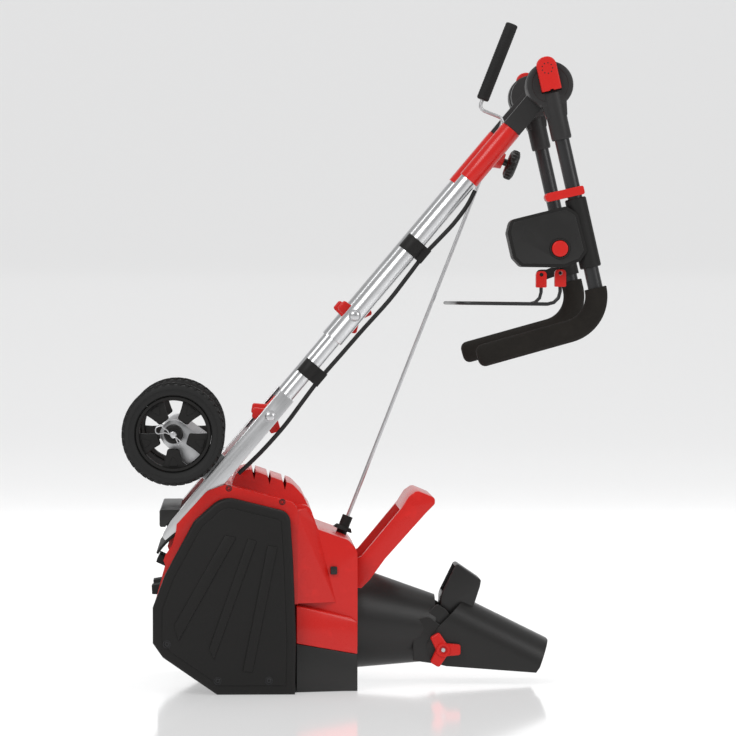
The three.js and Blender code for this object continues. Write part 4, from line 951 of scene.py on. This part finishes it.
def dome_bolt(at, side, radius=BOLT_RADIUS):
    """A carriage bolt's domed head on a thin washer."""
    rise = radius * BOLT_DOME
    dome = [(radius * math.sin(a), 1 + rise * math.cos(a)) for a in (0.3, 0.7, 1.1, 1.4, math.pi / 2)]
    profile = [(0, 1 + rise), *dome, (radius, 0.6), (radius + 2, 0.6), (radius + 2, 0), (0, 0)]
    return turned(profile, at, (0, side, 0), 40)


def smooth_route(points, steps=6):
    """Points along a smooth curve that passes through the given ones."""
    route = []
    ends = [2 * points[0] - points[1], *points, 2 * points[-1] - points[-2]]
    for before, here, ahead, beyond in zip(ends, ends[1:], ends[2:], ends[3:]):
        for k in range(steps):
            t = k / steps
            route.append(0.5 * (
                2 * here + (ahead - before) * t + (2 * before - 5 * here + 4 * ahead - beyond) * t**2
                + (3 * here - before - 3 * ahead + beyond) * t**3
            ))
    return route + [points[-1]]


def build_frame():
    """The plated tubes and channels with their bolts and knobs."""
    for name, side in SIDES:
        y = side * FRAME_HALF
        upper = hollow_tube(on_frame(UPPER_SPAN[0], 0, y), on_frame(UPPER_SPAN[1], 0, y), UPPER_RADIUS)
        piece(f"upper_tube_{name}_steel", upper, "frame_steel", "machine", (f"upper_tube_{name}",))
        middle = hollow_tube(on_frame(MIDDLE_SPAN[0], 0, y), on_frame(MIDDLE_SPAN[1], 0, y), MIDDLE_RADIUS)
        piece(f"mid_tube_{name}_steel", middle, "frame_steel", "machine", (f"mid_tube_{name}",))
        softened(f"channel_{name}_steel", f"frame_channel_{name}", 1.0, "frame_steel", crease=32)
        heads = joined(
            dome_bolt(on_frame(TUBE_BOLT, 0, side * (FRAME_HALF + TUBE_SEAT)), side),
            dome_bolt(on_frame(CHANNEL_BOLT, 0, side * (FRAME_HALF + CHANNEL_SEAT)), side),
        )
        piece(f"frame_bolts_{name}", heads, "plated_bolt", "machine")
        for level, back, first in KNOB_PLACES:
            at = joint_at(f"frame_knob_turn_{level}_{name}")
            at.y = side * (FRAME_HALF - back) / 1000
            knob, bolt = star_knob(at, -side, first)
            body = f"frame_knob_{level}_{name}"
            piece(f"frame_star_{level}_{name}", knob, "red_grained", body, (body,), crease=40)
            piece(f"frame_stud_{level}_{name}", bolt, "plated_bolt", body)
    softened("foot_bar", "cross_foot", 1.6, "black_plastic", crease=32)


def build_cable():
    """The lead from the switch box, clipped under the near tube."""
    points = [on_frame(down, -CABLE_SEAT - slack, -FRAME_HALF) for down, slack in CABLE_ROUTE]
    route = smooth_route(points, 4)
    lead = piece("lead", sweep(route, CABLE_RADIUS, 16), "cable_jacket", "machine", ("power_cable",))
    length = sum((b - a).length for a, b in zip(route, route[1:]))
    for level in ("upper", "lower"):
        softened(f"lead_clip_{level}", f"cable_clip_{level}", 1.2, "black_textured", crease=32)


# ---------------------------------------------------------------- crank, its bridge and clamp

GRIP_START = 16
GRIP_LENGTH = 135
GRIP_PITCH = 4.4
GRIP_RADIUS = 10.4
GRIP_BORE = 3.4
CLAMP_RADIUS = 26
CLAMP_FLUTES = 22
FLUTE_SIZE = (0.0017, 0.0019, 0.0062, 1)
FLUTE_HEIGHT = 0.0152


def build_crank():
    """The red bridge, the clamp knob and the crank with its grip."""
    softened("bridge_shell", "crank_bridge", 1.8, "red_plastic")
    softened("crank_seat", "crank_base", 0.8, "black_textured", segments=2, crease=32)
    build_clamp_knob()
    softened("crank_rod_steel", "crank_rod", 0, "zinc_steel", "crank", crease=60)
    ridge, groove = GRIP_RADIUS, GRIP_RADIUS - 0.4
    profile = [(GRIP_BORE, 0), (ridge - 1.8, 0), (ridge - 0.6, 1.2), (ridge, 3)]
    for k in range(int((GRIP_LENGTH - 10) / GRIP_PITCH)):
        height = 4 + GRIP_PITCH * k
        profile += [(ridge, height), (ridge, height + 3.4), (groove, height + 3.7), (groove, height + 4.1)]
    end = GRIP_LENGTH
    profile += [(ridge, end - 3), (ridge - 0.8, end - 0.8), (ridge - 2.4, end), (0, end)]
    start = joint_at("crank_grip_spin") + CRANK_ALONG * (GRIP_START / 1000)
    sleeve = turned(profile, start, CRANK_ALONG, 48)
    piece("crank_sleeve", sleeve, "rubber", "crank_handle", ("crank_grip",), crease=40)


def build_clamp_knob():
    """The fluted hand wheel that clamps the frame."""
    axis = joint_axis("clamp_knob_turn")
    start = joint_at("clamp_knob_turn")
    reach = CLAMP_RADIUS
    profile = [(0, 0), (6, 0), (6, 6.5), (reach - 7, 6.5), (reach - 3.5, 8.5), (reach - 2.2, 11),
               (reach - 2.2, 19), (reach - 4, 22), (reach - 8, 23.5), (reach - 12, 22), (0, 22)]
    wheel = turned(profile, start, axis, 72)
    flutes = bmesh.new()
    turn = Vector((0, 0, 1)).rotation_difference(axis).to_matrix().to_4x4()
    for k in range(CLAMP_FLUTES):
        around = Matrix.Rotation(math.tau * k / CLAMP_FLUTES, 4, "Z")
        out = Matrix.Translation(((reach - 2.2) / 1000, 0, FLUTE_HEIGHT))
        place = Matrix.Translation(start) @ turn @ around @ out @ Matrix.Diagonal(FLUTE_SIZE)
        bmesh.ops.create_icosphere(flutes, subdivisions=2, radius=1, matrix=place)
    piece("clamp_wheel", joined(wheel, flutes), "black_plastic", "clamp_knob", ("clamp_knob",), crease=50)


# ---------------------------------------------------------------- hinges, handlebar and grips

DISC_RADIUS = 37.5
DISC_PLANES = (174.4, 211)
ARM = ((14, 17.5), (30, 17.6), (60, 16.4), (86, 16.4), (89, 15.8), (90, 14.8))
NECK = ((12.4, -23.6), (54, -16.5), (54, 16.5), (12.4, 23.6))
NECK_START = 184
TAB_HALF = 16
SLOT_GAP = 0.4
SLOT_DEPTH = 4.6
TAB_PLANES = (207, 222)
TAB = ((10, -TAB_HALF, 2), (10, TAB_HALF, 2), (-45, TAB_HALF, 15), (-45, -TAB_HALF, 15))
TAB_NOTCH = ((8, -3), (8, 3), (12, 3), (12, -3))
# Each tab carries a ring of black discs. Their black is painted shade standing for the tab's dark dots, not
# the tab's own colour.
TAB_SHADE_DOTS = 9
SHADE_DOT_RING = (-26, 8.5)
HANDLE_RADIUS = 12
HANDLE_CORNER = 390
HANDLE_BEND = 58
SOCKET_START = 58.4
GRIP_ANGLE = math.radians(195.6)
HANDLE_GRIP = 210
FOAM_RADIUS = 18
FOAM_STARTS = {"left": 334, "right": 320}
FOAM_END = ((2, 17.9), (5, 17.2), (8, 15.4), (10.5, 12.4), (11.8, 9))


def upper_hinge(side):
    """The handlebar's hinge casting: a rimmed disc with a tapering arm, slotted for its tab."""
    y = side * HANDLE_HALF
    low, high = DISC_PLANES
    depth = high - low
    radius = DISC_RADIUS
    profile = [(0, 0), (radius - 1, 0), (radius, 1), (radius, depth - 3), (radius - 1, depth - 1),
               (radius - 3.5, depth), (radius - 8, depth), (radius - 9, depth - 0.8), (0, depth - 0.8)]
    disc = turned(profile, FOLD + Vector((0, side * low / 1000, 0)), (0, side, 0), 96)
    arm = sweep([on_handle(out, 0, y) for out, _ in ARM], [radius for _, radius in ARM], 48)
    neck = slab(NECK, *mirrored(side, NECK_START, high - 1), edge=2, place=on_handle)
    half = TAB_HALF + SLOT_GAP
    slot = slab(
        ((12, -half), (12, half), (-60, half), (-60, -half)),
        *mirrored(side, TAB_PLANES[0] - SLOT_DEPTH, TAB_PLANES[1] + 2), place=on_handle,
    )
    return [carved(disc, slot), arm, neck]


def build_hinges():
    """The hinge castings and their red release tabs, each tab with a ring of black discs that are painted
    shade for its dark dots.
    """
    for name, side in SIDES:
        softened(f"frame_hinge_{name}", f"hinge_arm_lower_{name}", 1.4, "grey_plastic")
        upper = f"hinge_arm_upper_{name}"
        hinge = joined(*upper_hinge(side))
        piece(f"handle_hinge_{name}", hinge, "grey_plastic", "handlebar", (upper,), crease=35)
        tab = slab(TAB, *mirrored(side, *TAB_PLANES), edge=2, place=on_handle)
        notch = slab(TAB_NOTCH, *mirrored(side, TAB_PLANES[0] - 3, TAB_PLANES[1] + 2), place=on_handle)
        # Black discs just proud of the tab's face: painted shade where the tab's dots show dark.
        shade_dots = []
        middle, ring = SHADE_DOT_RING
        for k in range(TAB_SHADE_DOTS):
            turn = math.tau * k / TAB_SHADE_DOTS
            out, across = middle + ring * math.cos(turn), ring * math.sin(turn)
            centre = on_handle(out, across, side * (TAB_PLANES[1] - 0.4))
            shade_dots.append(turned([(0, 0), (1.1, 0), (1.1, 0.5), (0, 0.6)], centre, (0, side, 0), 12))
        body = f"hinge_tab_{name}"
        piece(f"release_tab_{name}", carved(tab, notch), "red_grained", body, (body,), crease=40)
        piece(f"tab_shade_dots_{name}", joined(*shade_dots), "black_plastic", body)


def build_handlebar():
    """The bent handlebar tubes and their foam grips."""
    way = Vector((math.cos(GRIP_ANGLE), 0, math.sin(GRIP_ANGLE)))
    for name, side in SIDES:
        y = side * HANDLE_HALF
        corner = on_handle(HANDLE_CORNER, 0, y)

        def grip(out):
            return corner + way * (out / 1000)

        tube = bend_path([on_handle(SOCKET_START, 0, y), corner, grip(HANDLE_GRIP - 9)], [HANDLE_BEND], 16)
        piece(f"handle_tube_{name}", sweep(tube, HANDLE_RADIUS, 36), "black_steel", "handlebar",
              (f"handlebar_tube_{name}",))
        start = FOAM_STARTS[name]
        path = bend_path([on_handle(start, 0, y), corner, grip(HANDLE_GRIP - 12)], [HANDLE_BEND], 20)
        path = [path[0], on_handle(start + 0.6, 0, y), *path[1:]]
        straight = len(path) - 1
        path += [grip(HANDLE_GRIP - 12 + out) for out, _ in FOAM_END]
        radii = [FOAM_RADIUS - 1.3] + [FOAM_RADIUS] * straight + [radius for _, radius in FOAM_END]
        foam = sweep(path, radii, 40)
        grip_node = f"foam_grip_{name}"
        sleeve = piece(f"foam_sleeve_{name}", foam, "grip_foam", "handlebar", (grip_node,), crease=50)


# ---------------------------------------------------------------- switch box, bail and hook

BOX = (
    (436, 740, 8), (445, 700, 8), (458, 686, 8), (528, 685, 10), (553, 695, 8), (564, 711, 8),
    (549, 771, 14), (530, 783, 8), (441, 761, 12),
)
BOX_NEAR = -217
BUTTON_AT = (520, 715)
BUTTON_RADIUS = 13
WELL_RADIUS = 17
SLEEVE_SPAN = (187, 300)
SLEEVE_RADIUS = 17.3
MARKS = (((455, 725, 1), (486, 731, 1), (464, 754, 1)), ((534, 728, 1), (546, 742, 1), (548, 728, 1)))


def build_switch_box():
    """The switch box on its sleeve, with line marks, a button collar and the start button."""
    softened("switch_shell", "switch_box", 1.6, "black_textured", "handlebar")
    y = -HANDLE_HALF
    low, high = SLEEVE_SPAN
    path = [on_handle(out, 0, y) for out in (low - 0.5, low + 1.5, high - 1.5, high + 0.5)]
    sleeve = sweep(path, [SLEEVE_RADIUS - 1.7, SLEEVE_RADIUS, SLEEVE_RADIUS, SLEEVE_RADIUS - 1.7], 48)
    piece("switch_sleeve", sleeve, "black_textured", "handlebar", crease=40)
    lid = slab(moved_in(BOX, 5), BOX_NEAR - 0.9, BOX_NEAR + 0.5, edge=0.7)
    x, z = BUTTON_AT
    turns = [math.tau * k / 40 for k in range(40)]
    rim = [(x + WELL_RADIUS * math.cos(turn), z + WELL_RADIUS * math.sin(turn)) for turn in turns]
    well = slab(rim, BOX_NEAR - 3, BOX_NEAR + 2)
    piece("switch_lid", carved(lid, well), "black_plastic", "handlebar", crease=40)
    marks = []
    for points in MARKS:
        inside = slab(moved_in(points, 0.9), BOX_NEAR - 2, BOX_NEAR)
        marks.append(carved(slab(points, BOX_NEAR - 1.3, BOX_NEAR - 0.6), inside))
    piece("switch_marks", joined(*marks), "grey_plastic", "handlebar", crease=40)
    at = mm(x, z, BOX_NEAR)
    ring = [(13.8, 0.5), (14.2, 1.8), (16.2, 1.8), (16.9, 0.6), (16.9, -1), (13.8, -1)]
    collar = turned(ring, at, (0, -1, 0), 56, closed=True)
    piece("button_collar", collar, "black_plastic", "handlebar", crease=40)
    cap = turned([(0, -12), (BUTTON_RADIUS, -12), (BUTTON_RADIUS, 3.4), (BUTTON_RADIUS - 0.6, 4.4),
                  (BUTTON_RADIUS - 1.8, 4.9), (6, 4.6), (0, 4.4)], at, (0, -1, 0), 56)
    piece("start_cap", cap, "red_grained", "start_button", ("start_button",), crease=40)


def build_bail():
    """The bail wire, its red brackets, the far clamp and the cord hook."""
    softened("bail_wire", "bail", 0, "black_steel", "bail", crease=60)
    for name, _ in SIDES:
        softened(f"bail_seat_{name}", f"bail_bracket_{name}", 1.0, "red_grained", "bail")
    softened("far_clamp", "bail_clamp", 1.2, "black_textured", "handlebar")
    softened("cord_hook", "strain_hook", 1.0, "red_grained", "strain_hook")


# ---------------------------------------------------------------- auger


def build_auger():
    """The rubber paddles on their shaft."""
    softened("paddle_rubber", "auger_paddles", 1.2, "rubber", "auger", segments=2, crease=32)


# ---------------------------------------------------------------- stage

CAMERA_AT = mm(0, 632.8, -6160)
CAMERA_TARGET = mm(212.8, 524, -210)
CAMERA_LENS = 182.0
FLOOR_AT = -0.0005
STAGE_HALF = 9.0
WORLD_STRENGTH = 0.42
STAGE_DEPTH = (-9.0, 7.0)
STAGE_HEIGHT = 7.0
STAGE_BEND = 3000.0


def soft_light(name, at, towards, size, power):
    """A square area light at a point, facing another."""
    lamp = bpy.data.lights.new(name, "AREA")
    lamp.shape = "SQUARE"
    lamp.size = size
    lamp.energy = power
    made = bpy.data.objects.new(name, lamp)
    made.location = at
    made.rotation_euler = (Vector(towards) - Vector(at)).to_track_quat("-Z", "Y").to_euler()
    bpy.context.scene.collection.objects.link(made)


def build_stage():
    """Camera, lights and a seamless pale floor and wall."""
    scene = bpy.context.scene
    settings = scene.snow_blower_stage
    camera = bpy.data.objects.new("camera", bpy.data.cameras.new("camera"))
    scene.collection.objects.link(camera)
    camera.location = CAMERA_AT
    camera.rotation_euler = (CAMERA_TARGET - CAMERA_AT).to_track_quat("-Z", "Y").to_euler()
    camera.data.lens = CAMERA_LENS
    camera.data.sensor_width = 36
    camera.data.dof.use_dof = False
    scene.camera = camera

    mesh = bmesh.new()
    low, high = STAGE_DEPTH
    profile = bend_path([Vector((-STAGE_HALF, low, FLOOR_AT)), Vector((-STAGE_HALF, high, FLOOR_AT)),
                         Vector((-STAGE_HALF, high, STAGE_HEIGHT))], [STAGE_BEND], 24)
    verts = [mesh.verts.new(point) for point in profile]
    edges = [mesh.edges.new(pair) for pair in zip(verts, verts[1:])]
    pushed = bmesh.ops.extrude_edge_only(mesh, edges=edges)["geom"]
    moved = [v for v in pushed if isinstance(v, bmesh.types.BMVert)]
    bmesh.ops.translate(mesh, verts=moved, vec=(2 * STAGE_HALF, 0, 0))
    bmesh.ops.recalc_face_normals(mesh, faces=mesh.faces)
    for face in mesh.faces:
        face.smooth = True
    data = bpy.data.meshes.new("backdrop")
    mesh.to_mesh(data)
    mesh.free()
    backdrop = bpy.data.objects.new("backdrop", data)
    scene.collection.objects.link(backdrop)
    sheet = Finish("backdrop")
    sheet.surface(
        base_color=(*settings.backdrop, 1), roughness=0.1, specular_ior_level=0.9,
        emission_color=(1, 1, 1, 1), emission_strength=settings.glow,
    )
    data.materials.append(sheet.material)

    soft_light("key", (-2.2, -3.2, 3.4), (0, 0, 0.5), 2.2, settings.key_power)
    soft_light("side", (3.0, -2.4, 2.2), (0, 0, 0.5), 2.0, settings.fill_power)
    soft_light("top", (0.2, 0.8, 3.6), (0, 0, 0.3), 2.6, settings.fill_power)
    world = bpy.data.worlds.new("studio")
    world.use_nodes = True
    world.node_tree.nodes["Background"].inputs["Color"].default_value = (1, 1, 1, 1)
    world.node_tree.nodes["Background"].inputs["Strength"].default_value = WORLD_STRENGTH
    scene.world = world
    scene.view_settings.view_transform = "Standard"


# ---------------------------------------------------------------- operators and panel


class SNOWBLOWER_OT_stage(bpy.types.Operator):
    """Set up the camera, the lights and the backdrop"""

    bl_idname = "snowblower.stage"
    bl_label = "Stage"

    def execute(self, context):
        build_stage()
        return {"FINISHED"}


class SNOWBLOWER_OT_finishes(bpy.types.Operator):
    """Give the bare nodes of the model their finishes"""

    bl_idname = "snowblower.finishes"
    bl_label = "Finishes"

    def execute(self, context):
        dress_nodes()
        return {"FINISHED"}


class SNOWBLOWER_OT_covers(bpy.types.Operator):
    """Build the side covers, the top cover and the auger housing"""

    bl_idname = "snowblower.covers"
    bl_label = "Covers"

    def execute(self, context):
        build_side_covers()
        build_top_cover()
        build_housing()
        return {"FINISHED"}


class SNOWBLOWER_OT_wheels(bpy.types.Operator):
    """Build the wheels, their axle and its clips"""

    bl_idname = "snowblower.wheels"
    bl_label = "Wheels"

    def execute(self, context):
        build_wheels()
        return {"FINISHED"}


class SNOWBLOWER_OT_chute(bpy.types.Operator):
    """Build the chute, its deflector and knobs, and the carry handle"""

    bl_idname = "snowblower.chute"
    bl_label = "Chute"

    def execute(self, context):
        build_chute()
        build_carry_handle()
        return {"FINISHED"}


class SNOWBLOWER_OT_frame(bpy.types.Operator):
    """Build the tubes, channels, bolts and knobs"""

    bl_idname = "snowblower.frame"
    bl_label = "Frame"

    def execute(self, context):
        build_frame()
        return {"FINISHED"}


class SNOWBLOWER_OT_cable(bpy.types.Operator):
    """Build the clipped lead"""

    bl_idname = "snowblower.cable"
    bl_label = "Lead"

    def execute(self, context):
        build_cable()
        return {"FINISHED"}


class SNOWBLOWER_OT_crank(bpy.types.Operator):
    """Build the crank, its bridge and its clamp knob"""

    bl_idname = "snowblower.crank"
    bl_label = "Crank"

    def execute(self, context):
        build_crank()
        return {"FINISHED"}


class SNOWBLOWER_OT_hinges(bpy.types.Operator):
    """Build the hinge castings and release tabs"""

    bl_idname = "snowblower.hinges"
    bl_label = "Hinges"

    def execute(self, context):
        build_hinges()
        return {"FINISHED"}


class SNOWBLOWER_OT_handlebar(bpy.types.Operator):
    """Build the handlebar tubes and foam grips"""

    bl_idname = "snowblower.handlebar"
    bl_label = "Handlebar"

    def execute(self, context):
        build_handlebar()
        return {"FINISHED"}


class SNOWBLOWER_OT_switch_box(bpy.types.Operator):
    """Build the switch box and start button"""

    bl_idname = "snowblower.switch_box"
    bl_label = "Switch box"

    def execute(self, context):
        build_switch_box()
        return {"FINISHED"}


class SNOWBLOWER_OT_bail(bpy.types.Operator):
    """Build the bail, its brackets and the cord hook"""

    bl_idname = "snowblower.bail"
    bl_label = "Bail"

    def execute(self, context):
        build_bail()
        return {"FINISHED"}


class SNOWBLOWER_OT_auger(bpy.types.Operator):
    """Build the auger paddles"""

    bl_idname = "snowblower.auger"
    bl_label = "Auger"

    def execute(self, context):
        build_auger()
        return {"FINISHED"}


OPERATORS = (
    SNOWBLOWER_OT_stage,
    SNOWBLOWER_OT_finishes,
    SNOWBLOWER_OT_covers,
    SNOWBLOWER_OT_wheels,
    SNOWBLOWER_OT_chute,
    SNOWBLOWER_OT_frame,
    SNOWBLOWER_OT_cable,
    SNOWBLOWER_OT_crank,
    SNOWBLOWER_OT_hinges,
    SNOWBLOWER_OT_handlebar,
    SNOWBLOWER_OT_switch_box,
    SNOWBLOWER_OT_bail,
    SNOWBLOWER_OT_auger,
)


class SNOWBLOWER_PT_panel(bpy.types.Panel):
    """Lists the settings and the build steps"""

    bl_label = "Snow Blower"
    bl_idname = "SNOWBLOWER_PT_panel"
    bl_space_type = "VIEW_3D"
    bl_region_type = "UI"
    bl_category = "Snow Blower"

    def draw(self, context):
        layout = self.layout
        for settings in (context.scene.snow_blower_finishes, context.scene.snow_blower_stage):
            for name in settings.bl_rna.properties.keys():
                if name not in ("rna_type", "name"):
                    layout.prop(settings, name)
        for operator in OPERATORS:
            layout.operator(operator.bl_idname)


CLASSES = (FinishSettings, StageSettings, *OPERATORS, SNOWBLOWER_PT_panel)


def register():
    for cls in CLASSES:
        bpy.utils.register_class(cls)
    bpy.types.Scene.snow_blower_finishes = bpy.props.PointerProperty(type=FinishSettings)
    bpy.types.Scene.snow_blower_stage = bpy.props.PointerProperty(type=StageSettings)


def unregister():
    del bpy.types.Scene.snow_blower_stage
    del bpy.types.Scene.snow_blower_finishes
    for cls in reversed(CLASSES):
        bpy.utils.unregister_class(cls)


def main():
    """Registers the add-on and builds every piece."""
    register()
    for operator in OPERATORS:
        group, name = operator.bl_idname.split(".")
        getattr(getattr(bpy.ops, group), name)()


if __name__ == "__main__":
    main()
